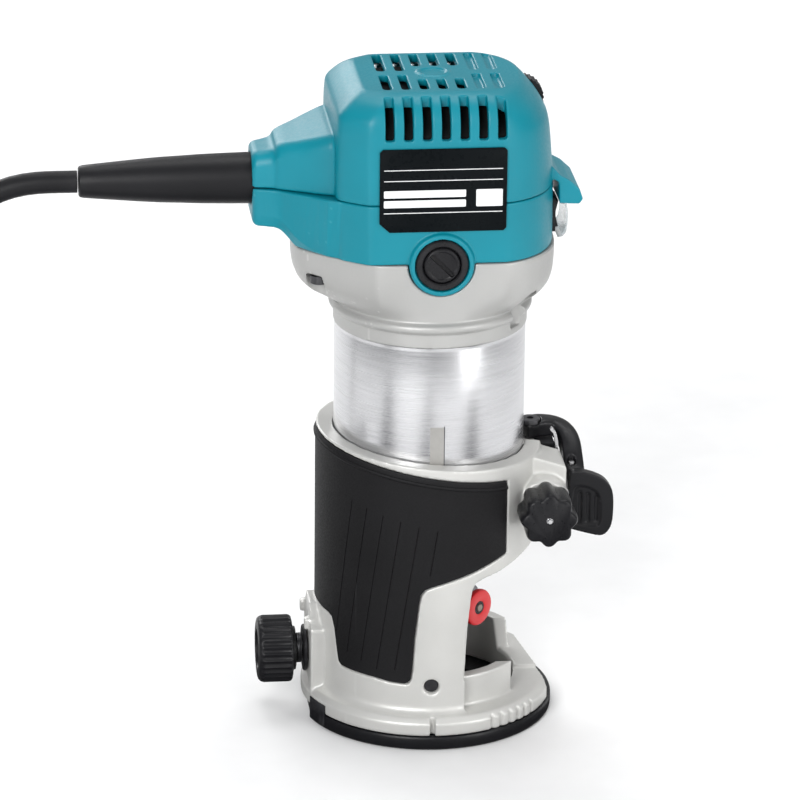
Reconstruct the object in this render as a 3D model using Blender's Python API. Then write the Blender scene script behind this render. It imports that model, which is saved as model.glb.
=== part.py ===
"""Trim router: a motor unit that slides in a clamping base with a window, on a mains cord.

All lengths below are millimetres, measured from the spindle axis and the sole of the base plate.
X runs from the cord (-X) to the window and clamp (+X), the name plate faces -Y, and Z is up.
"""

import math

import bmesh
import bpy
from mathutils import Matrix, Vector

MM = 0.001
GAP = 0.3
SPINDLE_X = 27.2
SPINDLE_Y = 0.0

# Motor unit
MOTOR_R = 32.5
PAINT_END_Z = 141.8
FLANGE_TOP_Z = 171.0
SEAM_Z = 191.8
HOUSING_LOW_Z = FLANGE_TOP_Z + 0.3
SPARE = 3.0
ROOF_Z = 228.0
BORE_R = 28.9
BODY_BOTTOM_Z = 63.0
BRUSH_Z = 171.2
CORD_Z = 192.6
GUARD_ROOT_X = -48.4
LOCK_Z = 41.2
DIAL_X = 31.0
DIAL_Z = 216.5
LOCK_ANGLE = math.radians(-47.0)

# Base unit
PLATE_R = 43.7
PLATE_TOP_Z = 4.6
WALL_R = 38.5
COLLAR_BORE_R = 32.8
FLANGE_Z = 11.4
APRON_R = 34.5
APRON_BORE_R = 29.5
APRON_TOP_Z = 22.5
GRIP_R = 39.0
RIM_Z = 101.0
RIM_SLOPE = 0.115
PINION_X = 37.0
PINION_Z = 81.3
PINION_TEETH = 12
PINION_PITCH_R = 5.25
RACK_PITCH = 2 * math.pi * PINION_PITCH_R / PINION_TEETH
RACK_TEETH = 17
RACK_ROOT_X = 30.7
RACK_LOW_Z = PINION_Z - 1.0 - 5.5 * RACK_PITCH
PIVOT_X = 36.5
PIVOT_Y = 10.0
BOLT_X = 41.6
BOLT_Z = 88.4
GUIDE_Z = 21.0
BLOCK_X = -41.3

EAR_FAR_Y = 12.2
LEVER_PIN_X = 53.0
LEVER_PIN_Y = -3.4

# Cord: straight out of the guard, over, down and onto the coil, then off the coil to the plug
CORD_D = 7.5
CORD_EXIT_X = -118.8
CORD_BEND_X = -132.0
CORD_BEND_R = 33.0
CORD_LAND_Z = 27.4
CORD_LAND_R = 34.0
COIL_X = -209.0
COIL_Y = 11.0
COIL_R = 39.8
COIL_LOW_Z = 1.6
TAIL_STRAND_R = COIL_R + 11.4
TAIL_STRAND_Z = COIL_LOW_Z + 3.95
TAIL_ANGLE = math.radians(100.0)
TAIL_STRAIGHT = 34.0
TAIL_BEND_R = 36.0
TAIL_END = 4.0
PLUG_Z = 18.0

# Near half of the housing outline at the seam, from the window side to the cord side
OUTLINE = [
    (39.8, -5.0), (39.2, -11.0), (37.6, -17.0), (34.6, -22.6), (30.2, -27.4), (25.2, -30.8),
    (21.5, -32.0), (7.0, -32.0), (-7.0, -32.0), (-21.5, -32.0), (-25.2, -31.2), (-33.4, -26.6),
    (-34.8, -23.4), (-34.8, -8.0),
]
FLANGE_OUTLINE = [
    (41.4, -5.0), (40.8, -11.5), (38.2, -19.0), (33.0, -25.6), (27.6, -30.0), (23.0, -32.0),
    (12.0, -32.0), (0.0, -32.0), (-12.0, -32.0), (-19.0, -32.0), (-24.4, -29.8), (-33.0, -22.4),
    (-40.4, -16.6), (-46.0, -10.6), (-47.3, -5.0),
]

# Left, right and half width of the cover at each height
COVER_LEVELS = [
    (-34.8, 40.6, 32.0, SEAM_Z + GAP), (-34.8, 39.8, 32.0, 203.0), (-34.6, 38.6, 32.0, 213.0),
    (-34.4, 37.0, 31.4, 218.0), (-33.2, 34.8, 29.6, 222.0), (-29.6, 31.6, 26.2, 225.4),
    (-26.6, 28.4, 22.8, 227.4), (-24.8, 26.6, 20.3, ROOF_Z),
]

# Cord boss: x, half width and top
BOSS_LEVELS = [
    (-26.0, 27.0, 216.0), (-34.5, 26.0, 216.6), (-52.2, 14.0, 212.0), (-54.0, 12.6, 209.0),
    (-59.6, 10.8, 207.1), (-61.1, 9.2, 205.0),
]

SCREWS = [(-39.0, -13.4), (28.9, -20.6), (-39.0, 13.4), (28.9, 20.6)]
PLATE_SCREWS = [(25.4, -25.4), (25.4, 25.4), (-25.4, -25.4), (-25.4, 25.4)]

LEVER_PATH = [
    # centre x, centre y, half width, low z, high z
    (33.9, 9.6, 4.2, 93.6, 99.6), (40.0, 11.6, 4.4, 93.6, 99.8), (45.2, 11.2, 3.6, 93.4, 99.2),
    (49.6, 8.0, 3.0, 91.2, 97.6), (52.0, 3.6, 2.7, 86.5, 94.8), (53.2, -1.6, 2.6, 80.6, 90.6),
    (53.2, -5.6, 2.6, 79.6, 86.0), (53.2, -9.4, 2.6, 79.6, 84.2),
]


def clear_scene():
    for old in list(bpy.data.objects):
        bpy.data.objects.remove(old, do_unlink=True)


def frame_root():
    root = bpy.data.objects.new("frame_root", None)
    bpy.context.scene.collection.objects.link(root)
    root.location = (SPINDLE_X * MM, SPINDLE_Y * MM, 0.0)
    return root


def paint(name, colour, roughness, metallic=0.0):
    made = bpy.data.materials.new(name)
    made.use_nodes = True
    shader = made.node_tree.nodes["Principled BSDF"]
    shader.inputs["Base Color"].default_value = (*colour, 1.0)
    shader.inputs["Roughness"].default_value = roughness
    shader.inputs["Metallic"].default_value = metallic
    made.diffuse_color = (*colour, 1.0)
    return made


def teal(name):
    return paint(name, (0.0, 0.27, 0.34), 0.42)


def silver_paint(name):
    return paint(name, (0.62, 0.62, 0.59), 0.4, 0.6)


def black_plastic(name):
    return paint(name, (0.015, 0.015, 0.018), 0.5)


def black_rubber(name):
    return paint(name, (0.02, 0.02, 0.022), 0.75)


def steel(name):
    return paint(name, (0.55, 0.55, 0.56), 0.3, 1.0)


def dark_steel(name):
    return paint(name, (0.09, 0.09, 0.1), 0.4, 1.0)


def copper(name):
    return paint(name, (0.72, 0.33, 0.16), 0.35, 1.0)


def carbon(name):
    return paint(name, (0.03, 0.03, 0.03), 0.8)


def red_plastic(name):
    return paint(name, (0.75, 0.05, 0.05), 0.45)


def clear_plastic(name):
    return paint(name, (0.85, 0.87, 0.88), 0.15)


def board_green(name):
    return paint(name, (0.05, 0.2, 0.08), 0.5)


def put(name, body, make_material, origin=(0.0, 0.0, 0.0)):
    """A bmesh in router millimetres becomes an object whose origin is the given point."""
    shift = Matrix.Translation(-Vector(origin))
    bmesh.ops.transform(body, matrix=shift, verts=body.verts)
    bmesh.ops.scale(body, vec=(MM, MM, MM), verts=body.verts)
    mesh = bpy.data.meshes.new(name)
    body.to_mesh(mesh)
    body.free()
    made = bpy.data.objects.new(name, mesh)
    bpy.context.scene.collection.objects.link(made)
    made.location = Vector(origin) * MM
    made.parent = bpy.data.objects["frame_root"]
    if make_material:
        mesh.materials.append(make_material(name + "_material"))
    mesh.polygons.foreach_set("use_smooth", [True] * len(mesh.polygons))
    mesh.set_sharp_from_angle(angle=math.radians(34.0))
    return made


def helper(name, body):
    made = put(name, body, None)
    made.hide_render = True
    made.display_type = "WIRE"
    return made


def combine(target, tool, operation):
    step = target.modifiers.new(tool.name, "BOOLEAN")
    step.operation = operation
    step.object = tool
    step.solver = "EXACT"


def cut(target, body, name):
    combine(target, helper(target.name + "_" + name, body), "DIFFERENCE")


def join(target, body, name):
    combine(target, helper(target.name + "_" + name, body), "UNION")


def outward(body):
    bmesh.ops.recalc_face_normals(body, faces=body.faces)
    return body


def lathe(profile, sides=48, ring=False):
    """Turns (radius, height) points about Z. A ring's profile closes on itself, others start and end at radius 0."""
    body = bmesh.new()
    rows = []
    for radius, height in profile:
        if radius < 1e-6:
            continue
        row = []
        for step in range(sides):
            angle = 2 * math.pi * step / sides
            row.append(body.verts.new((radius * math.cos(angle), radius * math.sin(angle), height)))
        rows.append(row)
    pairs = list(zip(rows, rows[1:]))
    if ring:
        pairs.append((rows[-1], rows[0]))
    else:
        body.faces.new(rows[0])
        body.faces.new(rows[-1])
    for low, high in pairs:
        for step in range(sides):
            after = (step + 1) % sides
            body.faces.new((low[step], low[after], high[after], high[step]))
    return outward(body)


def loft(rows):
    """Rows of points with equal counts become a closed body with flat ends."""
    body = bmesh.new()
    made = [[body.verts.new(point) for point in row] for row in rows]
    count = len(made[0])
    for low, high in zip(made, made[1:]):
        for step in range(count):
            after = (step + 1) % count
            body.faces.new((low[step], low[after], high[after], high[step]))
    body.faces.new(list(reversed(made[0])))
    body.faces.new(made[-1])
    return outward(body)


def prism(outline, low, high):
    return loft([[(x, y, low) for x, y in outline], [(x, y, high) for x, y in outline]])


def prism_y(outline, low, high):
    """An outline of (x, z) points swept along Y."""
    return loft([[(x, low, z) for x, z in outline], [(x, high, z) for x, z in outline]])


def prism_x(outline, low, high):
    """An outline of (y, z) points swept along X."""
    return loft([[(low, y, z) for y, z in outline], [(high, y, z) for y, z in outline]])


def box(x0, x1, y0, y1, z0, z1):
    return prism([(x0, y0), (x1, y0), (x1, y1), (x0, y1)], z0, z1)


def moved(body, x=0.0, y=0.0, z=0.0):
    bmesh.ops.transform(body, matrix=Matrix.Translation((x, y, z)), verts=body.verts)
    return body


def aimed(body, direction, point):
    """Turns a body made along +Z so that it runs along a direction from a point."""
    turn = Vector((0.0, 0.0, 1.0)).rotation_difference(Vector(direction)).to_matrix().to_4x4()
    bmesh.ops.transform(body, matrix=Matrix.Translation(point) @ turn, verts=body.verts)
    return outward(body)


def merged(bodies):
    """Several separate bodies in one bmesh, for cutters."""
    whole = bmesh.new()
    for body in bodies:
        copy = bpy.data.meshes.new("scratch")
        body.to_mesh(copy)
        body.free()
        whole.from_mesh(copy)
        bpy.data.meshes.remove(copy)
    return whole


def both_sides(near):
    """The near half of an outline and its mirror on the far side, as one loop."""
    return near + [(x, -y) for x, y in reversed(near)]


def sized(outline, left, right, half_width):
    """An outline stretched so its ends and half width take new values."""
    most_right = max(x for x, _ in outline)
    most_left = min(x for x, _ in outline)
    widest = max(abs(y) for _, y in outline)
    made = []
    for x, y in outline:
        scale = right / most_right if x > 0 else left / most_left
        made.append((x * scale, y * half_width / widest))
    return made


def hexagon(across_flats, low, high, turn=0.0):
    corner = across_flats / math.sqrt(3.0)
    outline = []
    for step in range(6):
        angle = math.radians(60.0 * step + turn)
        outline.append((corner * math.cos(angle), corner * math.sin(angle)))
    return prism(outline, low, high)


def sector(inner, outer, low, high, start, stop, steps):
    """A slice of a ring between two angles in degrees."""
    rows = []
    for step in range(steps + 1):
        angle = math.radians(start + (stop - start) * step / steps)
        c = math.cos(angle)
        s = math.sin(angle)
        rows.append([
            (inner * c, inner * s, low), (outer * c, outer * s, low),
            (outer * c, outer * s, high), (inner * c, inner * s, high),
        ])
    return loft(rows)


# ---------------------------------------------------------------- motor unit


def cover_shell(inset, low_z):
    rows = []
    for left, right, half, height in COVER_LEVELS:
        outline = sized(both_sides(OUTLINE), left + inset, right - inset, half - inset)
        level = max(low_z, height - inset) if inset else height
        rows.append([(x, y, level) for x, y in outline])
    if inset:
        rows[0] = [(x, y, low_z) for x, y, _ in rows[0]]
    return loft(rows)


def boss_section(x, half, low, high, round_low, round_high):
    """A rounded section of the cord boss at one X."""
    cut_low = 3.0 if round_low else 0.01
    cut_high = 4.0 if round_high else 0.01
    return [
        (x, -half + cut_low, low), (x, half - cut_low, low), (x, half, low + cut_low),
        (x, half, high - cut_high), (x, half - 0.3 * cut_high, high - 0.3 * cut_high),
        (x, half - cut_high, high), (x, -half + cut_high, high),
        (x, -half + 0.3 * cut_high, high - 0.3 * cut_high), (x, -half, high - cut_high),
        (x, -half, low + cut_low),
    ]


def cord_hole():
    return aimed(lathe([(0, 0), (8.9, 0), (8.9, 16), (0, 16)], 32), (1, 0, 0), (-64, 0, CORD_Z))


def cover_vents():
    """Seven slots down each long face, and two rows of seven through the roof."""
    slots = []
    for index in range(7):
        x = (index - 3) * 6.2
        for side in (-1, 1):
            y0, y1 = sorted((side * 24.6, side * 36.0))
            slots.append(box(x - 1.6, x + 1.6, y0, y1, 214.2, 226.6))
            y0, y1 = sorted((side * 3.6, side * 15.6))
            if abs(index - 3) < 2:
                y0, y1 = sorted((side * 8.0, side * 15.6))
            slots.append(box(x - 1.6, x + 1.6, y0, y1, 224.0, 232.0))
    return merged(slots)


def top_cover():
    made = put("top_cover", cover_shell(0.0, 0.0), teal)
    rows = [boss_section(x, h, SEAM_Z + GAP, t, False, True) for x, h, t in BOSS_LEVELS]
    join(made, loft(rows), "boss")
    hood = [
        (36.0, 195.2), (41.5, 192.3), (41.7, 184.6), (48.6, 184.4), (49.8, 186.2), (48.4, 190.0),
        (44.0, 193.6), (39.0, 198.0), (36.0, 198.0),
    ]
    join(made, prism_y(hood, -12.0, 12.0), "hood")
    cut(made, cover_shell(2.6, SEAM_Z - 1.0), "inside")
    cut(made, box(-52.0, -30.0, -8.5, 8.5, SEAM_Z - 1.0, 204.0), "boss_inside")
    cut(made, cover_vents(), "vents")
    cut(made, cord_hole(), "cord_hole")
    cut(made, box(24.0, 41.0, 5.0, 11.6, 208.0, 226.6), "dial_slot")
    return made


def housing_shell():
    top = sized(both_sides(OUTLINE), -34.8, 40.6, 32.0)
    low = sized(both_sides(OUTLINE), -34.0, 40.8, 31.8)
    return loft([[(x, y, HOUSING_LOW_Z - SPARE) for x, y in low], [(x, y, SEAM_Z + SPARE) for x, y in top]])


def housing_prow():
    """The lower half of the cord boss, running down into the painted flange."""
    rows = []
    levels = [
        (-24.0, 25.0, 27.0, 169.0), (-34.0, 22.2, 26.0, 169.0), (-46.6, 9.6, 18.2, 171.3),
        (-49.4, 9.4, 16.2, 174.6), (-52.4, 9.2, 13.8, 177.0),
        (-60.0, 8.6, 10.6, 178.4), (-61.1, 7.2, 9.2, 180.2),
    ]
    for x, low_half, high_half, low_z in levels:
        rows.append([
            (x, -low_half, low_z), (x, low_half, low_z), (x, high_half, SEAM_Z + SPARE),
            (x, -high_half, SEAM_Z + SPARE),
        ])
    return loft(rows)


def brush_boss(side):
    profile = [(0, 23.0), (10.85, 23.0), (10.85, 33.2), (10.45, 33.6), (0, 33.6)]
    return aimed(lathe(profile, 40), (0, side, 0), (0, 0, BRUSH_Z))


def brush_hole(side):
    profile = [(0, 20.0), (7.2, 20.0), (7.2, 31.5), (9.0, 31.5), (9.0, 36.0), (0, 36.0)]
    return aimed(lathe(profile, 40), (0, side, 0), (0, 0, BRUSH_Z))


def motor_housing():
    made = put("motor_housing", housing_shell(), teal)
    join(made, housing_prow(), "prow")
    above = box(-80, 60, -50, 50, SEAM_Z, SEAM_Z + 20)
    below = box(-80, 60, -50, 50, HOUSING_LOW_Z - 20, HOUSING_LOW_Z)
    cut(made, merged([above, below]), "trimming")
    cut(made, cord_hole(), "cord_hole")
    cut(made, box(-52.0, -20.0, -6.0, 6.0, 186.5, SEAM_Z + 2.0), "cord_channel")
    cut(made, box(26.0, 48.0, -6.7, 6.7, 172.3, 185.7), "switch_pocket")
    join(made, merged([brush_boss(-1), brush_boss(1)]), "brush_bosses")
    bore = [(0, 150.0), (29.5, 150.0), (29.5, 184.8), (11.3, 184.8), (11.3, 200.0), (0, 200.0)]
    cut(made, lathe(bore, 48), "bore")
    cut(made, merged([brush_hole(-1), brush_hole(1)]), "brush_holes")
    holes = [moved(lathe([(0, 160.0), (2.1, 160.0), (2.1, 186.0), (0, 186.0)], 12), x, y) for x, y in SCREWS]
    cut(made, merged(holes), "screw_holes")
    return made


def reach(outline, angle):
    """Distance from the axis to an outline in one direction."""
    dx = math.cos(angle)
    dy = math.sin(angle)
    best = 0.0
    for (x0, y0), (x1, y1) in zip(outline, outline[1:] + outline[:1]):
        ex = x1 - x0
        ey = y1 - y0
        cross = dx * ey - dy * ex
        if abs(cross) < 1e-9:
            continue
        far = (x0 * ey - y0 * ex) / cross
        along = (x0 * dy - y0 * dx) / cross
        if far > 0 and -1e-9 <= along <= 1 + 1e-9:
            best = max(best, far)
    return best


def flange_rows(sides):
    outline = both_sides(FLANGE_OUTLINE)
    rows = []
    blends = [
        (150.0, 0.0), (150.9, 0.16), (152.6, 0.42), (155.0, 0.66), (158.0, 0.85), (162.0, 0.96),
        (167.0, 1.0), (FLANGE_TOP_Z, 1.0),
    ]
    for height, blend in blends:
        row = []
        for step in range(sides):
            angle = 2 * math.pi * (step + 0.5) / sides
            radius = 33.3 + blend * (reach(outline, angle) - 33.3)
            row.append((radius * math.cos(angle), radius * math.sin(angle), height))
        rows.append(row)
    return rows


def motor_body():
    sides = 48
    rows = []
    ring = [
        (31.7, BODY_BOTTOM_Z), (MOTOR_R, BODY_BOTTOM_Z + 0.8), (MOTOR_R, PAINT_END_Z), (32.8, PAINT_END_Z + 0.2),
        (32.8, 146.6), (33.5, 147.6), (33.7, 148.5), (33.3, 149.6),
    ]
    for radius, height in ring:
        row = []
        for step in range(sides):
            angle = 2 * math.pi * (step + 0.5) / sides
            row.append((radius * math.cos(angle), radius * math.sin(angle), height))
        rows.append(row)
    made = put("motor_body", loft(rows + flange_rows(sides)), silver_paint)
    bore = [(0, 60.0), (14.0, 60.0), (14.0, 66.0), (BORE_R, 66.0), (BORE_R, 175.0), (0, 175.0)]
    cut(made, lathe(bore, 48), "bore")
    notch = aimed(lathe([(0, -60), (11.15, -60), (11.15, 60), (0, 60)], 40), (0, 1, 0), (0, 0, BRUSH_Z))
    cut(made, notch, "brush_notch")
    pocket = [(0, 150.4), (3.7, 150.4), (3.7, 157.5), (2.1, 157.5), (2.1, 175.0), (0, 175.0)]
    cut(made, merged([moved(lathe(pocket, 12), x, y) for x, y in SCREWS]), "screw_pockets")
    cut(made, box(29.8, 36.0, -2.4, 2.4, RACK_LOW_Z - 0.9, 113.0), "rack_groove")
    return made


def housing_screw(index):
    x, y = SCREWS[index]
    profile = [
        (0, 155.3), (1.5, 155.3), (1.5, 154.4), (3.0, 154.4), (3.3, 155.0), (3.3, 157.2),
        (1.8, 157.2), (1.8, 184.0), (0, 184.0),
    ]
    return put(f"housing_screw_{index + 1}", moved(lathe(profile, 12), x, y), dark_steel, (x, y, 157.2))


def name_plate():
    """A thin plate on the flat of the housing, set across the seam."""
    outline = [
        (-20.2, 211.6), (-21.0, 210.8), (-21.0, 185.6), (-18.2, 182.9), (20.4, 182.9), (21.2, 183.7),
        (21.2, 210.8), (20.4, 211.6),
    ]
    return put("name_plate", prism_y(outline, -32.7, -32.3), black_plastic)


def spindle_nose():
    """The lower bearing housing with the side boss for the spindle lock."""
    profile = [
        (9.6, 34.0), (14.4, 34.0), (16.4, 36.0), (17.6, 52.0), (22.6, 57.6), (24.6, 59.0), (24.6, 62.7),
        (13.7, 62.7), (13.7, 64.0), (11.3, 64.0), (11.3, 55.6), (8.4, 55.6), (8.4, 46.0), (9.6, 46.0),
    ]
    made = put("spindle_nose", lathe(profile, 32, ring=True), dark_steel)
    join(made, along_lock([(0, 11.4), (7.2, 11.4), (7.2, 18.2), (6.6, 18.8), (0, 18.8)], 24), "lock_boss")
    cut(made, along_lock([(0, 5.0), (3.5, 5.0), (3.5, 26.0), (0, 26.0)], 24), "lock_hole")
    return made


def along_lock(profile, sides):
    direction = (math.cos(LOCK_ANGLE), math.sin(LOCK_ANGLE), 0.0)
    return aimed(lathe(profile, sides), direction, (0, 0, LOCK_Z))


def lock_button():
    """Sprung button: a round head outside the nose and a stem in its hole."""
    profile = [
        (1.7, 14.2), (3.2, 14.2), (3.2, 21.9), (5.9, 21.9), (6.4, 22.4), (6.4, 23.8), (6.0, 24.3),
        (2.4, 24.3), (2.4, 23.9), (1.7, 23.9),
    ]
    x = 22.0 * math.cos(LOCK_ANGLE)
    y = 22.0 * math.sin(LOCK_ANGLE)
    direction = (math.cos(LOCK_ANGLE), math.sin(LOCK_ANGLE), 0.0)
    body = aimed(lathe(profile, 20, ring=True), direction, (0, 0, LOCK_Z))
    return put("lock_button", body, red_plastic, (x, y, LOCK_Z))


def lock_pin():
    profile = [(0, 8.2), (1.1, 8.2), (1.4, 8.6), (1.4, 24.0), (1.1, 24.4), (0, 24.4)]
    x = 22.0 * math.cos(LOCK_ANGLE)
    y = 22.0 * math.sin(LOCK_ANGLE)
    return put("lock_pin", along_lock(profile, 16), steel, (x, y, LOCK_Z))


def spindle():
    profile = [
        (0, 39.0), (3.2, 38.0), (4.4, 25.4), (6.3, 25.4), (6.3, 35.0), (7.4, 35.6), (7.4, 50.0), (5.9, 50.4), (5.9, 66.0),
        (5.0, 66.4), (5.0, 184.4), (4.0, 184.8), (4.0, 193.0), (0, 193.0),
    ]
    made = put("spindle", lathe(profile, 20), steel)
    cut(made, along_lock([(0, -12.0), (1.7, -12.0), (1.7, 12.0), (0, 12.0)], 16), "lock_cross_hole")
    return made


def collet():
    """Split sleeve with a taper; its four saw cuts stop short of the top."""
    profile = [(3.0, 22.8), (4.1, 22.8), (4.1, 25.0), (3.3, 34.6), (2.6, 34.6), (2.6, 33.0)]
    made = put("collet", lathe(profile, 16, ring=True), steel)
    slots = [box(-0.35, 0.35, -8.0, 8.0, 20.0, 32.0), box(-8.0, -0.5, -0.35, 0.35, 20.0, 32.0),
             box(0.5, 8.0, -0.35, 0.35, 20.0, 32.0)]
    cut(made, merged(slots), "saw_cuts")
    return made


def collet_nut():
    made = put("collet_nut", hexagon(17.0, 22.0, 34.4, 12.0), dark_steel)
    chamfer = [(0, 21.0), (8.2, 21.0), (9.9, 22.6), (9.9, 33.6), (8.6, 35.4), (0, 35.4)]
    combine(made, helper("collet_nut_turning", lathe(chamfer, 32)), "INTERSECT")
    bore = [(0, 20.0), (4.8, 20.0), (4.8, 25.0), (6.6, 25.0), (6.6, 36.0), (0, 36.0)]
    cut(made, lathe(bore, 20), "bore")
    return made


def bearing(name, bore, outer, low, high):
    profile = [(bore, low), (outer, low), (outer, high), (bore, high)]
    return put(name, lathe(profile, 24, ring=True), steel)


def rotor_ring(name, bore, outer, low, high, make_material, sides=28):
    profile = [(bore, low), (outer, low), (outer, high), (bore, high)]
    return put(name, lathe(profile, sides, ring=True), make_material)


def fan():
    outline = []
    for blade in range(14):
        for radius, lead in ((15.0, 0.0), (27.6, 0.16), (27.6, 0.27), (15.0, 0.11)):
            angle = 2 * math.pi * blade / 14 + lead
            outline.append((radius * math.cos(angle), radius * math.sin(angle)))
    made = put("fan", prism(outline, 69.0, 78.0), black_plastic)
    cut(made, lathe([(0, 60.0), (5.3, 60.0), (5.3, 90.0), (0, 90.0)], 32), "bore")
    return made


def brush_holder(name, side):
    profile = [
        (3.9, 15.2), (6.9, 15.2), (6.9, 31.8), (8.65, 31.8), (8.65, 33.4), (8.35, 33.7), (6.4, 33.7),
        (6.4, 25.6), (3.9, 25.6),
    ]
    body = aimed(lathe(profile, 24, ring=True), (0, side, 0), (0, 0, BRUSH_Z))
    return put(name, body, black_plastic)


def brush(name, side):
    body = aimed(prism([(-2.4, -2.6), (2.4, -2.6), (2.4, 2.6), (-2.4, 2.6)], 12.2, 25.0), (0, side, 0), (0, 0, BRUSH_Z))
    return put(name, body, carbon)


def brush_cap(name, side):
    """Screwed cap with a straight driver slot."""
    profile = [(0, 26.0), (6.1, 26.0), (6.1, 33.2), (5.7, 33.6), (0, 33.6)]
    body = aimed(lathe(profile, 40), (0, side, 0), (0, 0, BRUSH_Z))
    made = put(name, body, black_plastic, (0, side * 33.6, BRUSH_Z))
    slot = prism([(-5.2, -0.7), (5.2, -0.7), (5.2, 0.7), (-5.2, 0.7)], 32.3, 36.0)
    turn = Matrix.Rotation(math.radians(-45.0), 4, "Z")
    bmesh.ops.transform(slot, matrix=turn, verts=slot.verts)
    cut(made, aimed(slot, (0, side, 0), (0, 0, BRUSH_Z)), "slot")
    return made


def control_board():
    return put("control_board", box(-19.0, 19.0, -15.0, 15.0, 205.0, 206.6), board_green)


def speed_dial():
    """Thumb wheel with a milled rim, on an axis along Y."""
    outline = []
    for tooth in range(28):
        for radius, lead in ((8.4, -0.05), (8.4, 0.05), (8.0, 0.112)):
            angle = 2 * math.pi * tooth / 28 + lead
            outline.append((DIAL_X + radius * math.cos(angle), DIAL_Z + radius * math.sin(angle)))
    return put("speed_dial", prism_y(outline, 5.4, 11.2), black_plastic, (DIAL_X, 8.3, DIAL_Z))


def switch_body():
    made = put("switch_body", box(28.0, 41.4, -6.3, 6.3, 172.7, 185.3), black_plastic)
    cut(made, box(35.0, 44.0, -5.6, 5.6, 173.5, 184.5), "recess")
    return made


def switch_rocker():
    outline = [
        (36.4, 176.8), (36.4, 181.2), (39.2, 183.7), (42.6, 183.7), (41.4, 179.0), (42.6, 174.3),
        (39.2, 174.3),
    ]
    return put("switch_rocker", prism_y(outline, -5.2, 5.2), black_plastic, (38.8, 0, 179.0))


def switch_cover():
    """Clear dust flap bowed out over the rocker."""
    outer = [(42.0, 171.6), (44.8, 173.2), (45.2, 179.0), (44.8, 183.9), (42.6, 184.2)]
    inner = [(42.6, 183.6), (44.2, 183.4), (44.6, 179.0), (44.2, 173.7), (42.0, 172.3)]
    return put("switch_cover", prism_y(outer + inner, -8.2, 8.2), clear_plastic)


def cord_guard():
    """Tapered bend guard with its root held inside the boss."""
    rows = [
        (0, 0.0), (8.5, 0.0), (8.6, 12.6), (8.2, 30.0), (7.7, 41.0), (6.6, 56.0), (5.6, 68.0), (5.2, 70.0), (0, 70.0),
    ]
    return put("cord_guard", aimed(lathe(rows, 24), (-1, 0, 0), (GUARD_ROOT_X, 0, CORD_Z)), black_rubber)


def rack():
    """Toothed strip let into the motor body; its teeth face the pinion."""
    outline = [(RACK_ROOT_X, RACK_LOW_Z - 0.6)]
    for tooth in range(RACK_TEETH):
        z = RACK_LOW_Z + tooth * RACK_PITCH
        outline += [(RACK_ROOT_X, z + 0.1), (32.4, z + 0.75), (32.4, z + 1.25), (RACK_ROOT_X, z + 1.9)]
    high = RACK_LOW_Z + RACK_TEETH * RACK_PITCH
    outline += [(RACK_ROOT_X, high), (30.1, high), (30.1, RACK_LOW_Z - 0.6)]
    return put("rack", prism_y(outline, -2.1, 2.1), steel)


# ---------------------------------------------------------------- base unit


def rim_cut():
    high = RIM_Z + 60 * RIM_SLOPE
    low = RIM_Z - 60 * RIM_SLOPE
    return prism_y([(-60, high), (60, low), (60, 140), (-60, 140)], -60, 60)


def window_cut():
    outline = [
        (9.0, APRON_TOP_Z), (9.6, 38.0), (11.2, 56.0), (13.4, 58.4), (21.0, 60.0), (27.0, 62.2),
        (33.2, 64.6), (39.0, 66.6), (60.0, 68.0), (60.0, APRON_TOP_Z),
    ]
    return prism_y(outline, -50, 50)


def chord(distance, normal_degrees, low, high):
    """A block beyond a straight cut across the round flange."""
    body = box(distance, distance + 30, -50, 50, low, high)
    turn = Matrix.Rotation(math.radians(normal_degrees), 4, "Z")
    bmesh.ops.transform(body, matrix=turn, verts=body.verts)
    return body


def ears():
    """The two clamp ears beside the split; the near one carries the pinion boss."""
    near = prism_y([(30, 79), (45, 79), (45.2, 92.4), (44.2, 93.2), (34, 96.4), (30, 97)], -18.6, -2.0)
    far = prism_y([(30, 79), (44.6, 79), (44.6, 92.6), (43.8, 93.2), (30, 93.2)], 2.0, EAR_FAR_Y)
    return near, far


def guide_block():
    outline = [(-13, 8), (13, 8), (13, 32.6), (5.5, 40.0), (-5.5, 40.0), (-13, 32.6)]
    return prism_x(outline, BLOCK_X, -33.0)


def grip_edges():
    """Angle from the cord side to the near face, with the low and high edge of the grip."""
    low = [
        (128.0, 66.8), (118.0, 64.6), (108.0, 62.4), (97.0, 60.2), (86.5, 58.1), (81.2, 56.8),
        (79.7, 53.8), (77.4, 39.0), (76.2, 25.0), (74.6, 22.6), (72.4, 22.0), (65.0, 22.3),
        (57.0, 23.0), (45.0, 23.2), (33.6, 23.4), (32.0, 25.2), (27.6, 38.8), (25.0, 40.4),
        (16.0, 40.6), (8.0, 40.8),
    ]
    near = []
    for angle, bottom in low:
        x = -GRIP_R * math.cos(math.radians(angle))
        near.append((angle, bottom, 96.6 - 0.165 * x))
    return near + [(-angle, bottom, top) for angle, bottom, top in reversed(near)]


def grip_rows(inner, outer, spread, grow):
    rows = []
    edges = grip_edges()
    for index, (angle, bottom, top) in enumerate(edges):
        turn = angle
        if index == 0:
            turn = angle + spread
        if index == len(edges) - 1:
            turn = angle - spread
        if 70.0 < abs(angle) < 83.0:
            turn = angle + math.copysign(spread, angle)
        if 26.0 < abs(angle) < 35.0:
            turn = angle - math.copysign(spread, angle)
        around = math.radians(180.0 + turn)
        c = math.cos(around)
        s = math.sin(around)
        rows.append([
            (inner * c, inner * s, bottom - grow), (outer * c, outer * s, bottom - grow),
            (outer * c, outer * s, top + grow), (inner * c, inner * s, top + grow),
        ])
    return rows


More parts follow.
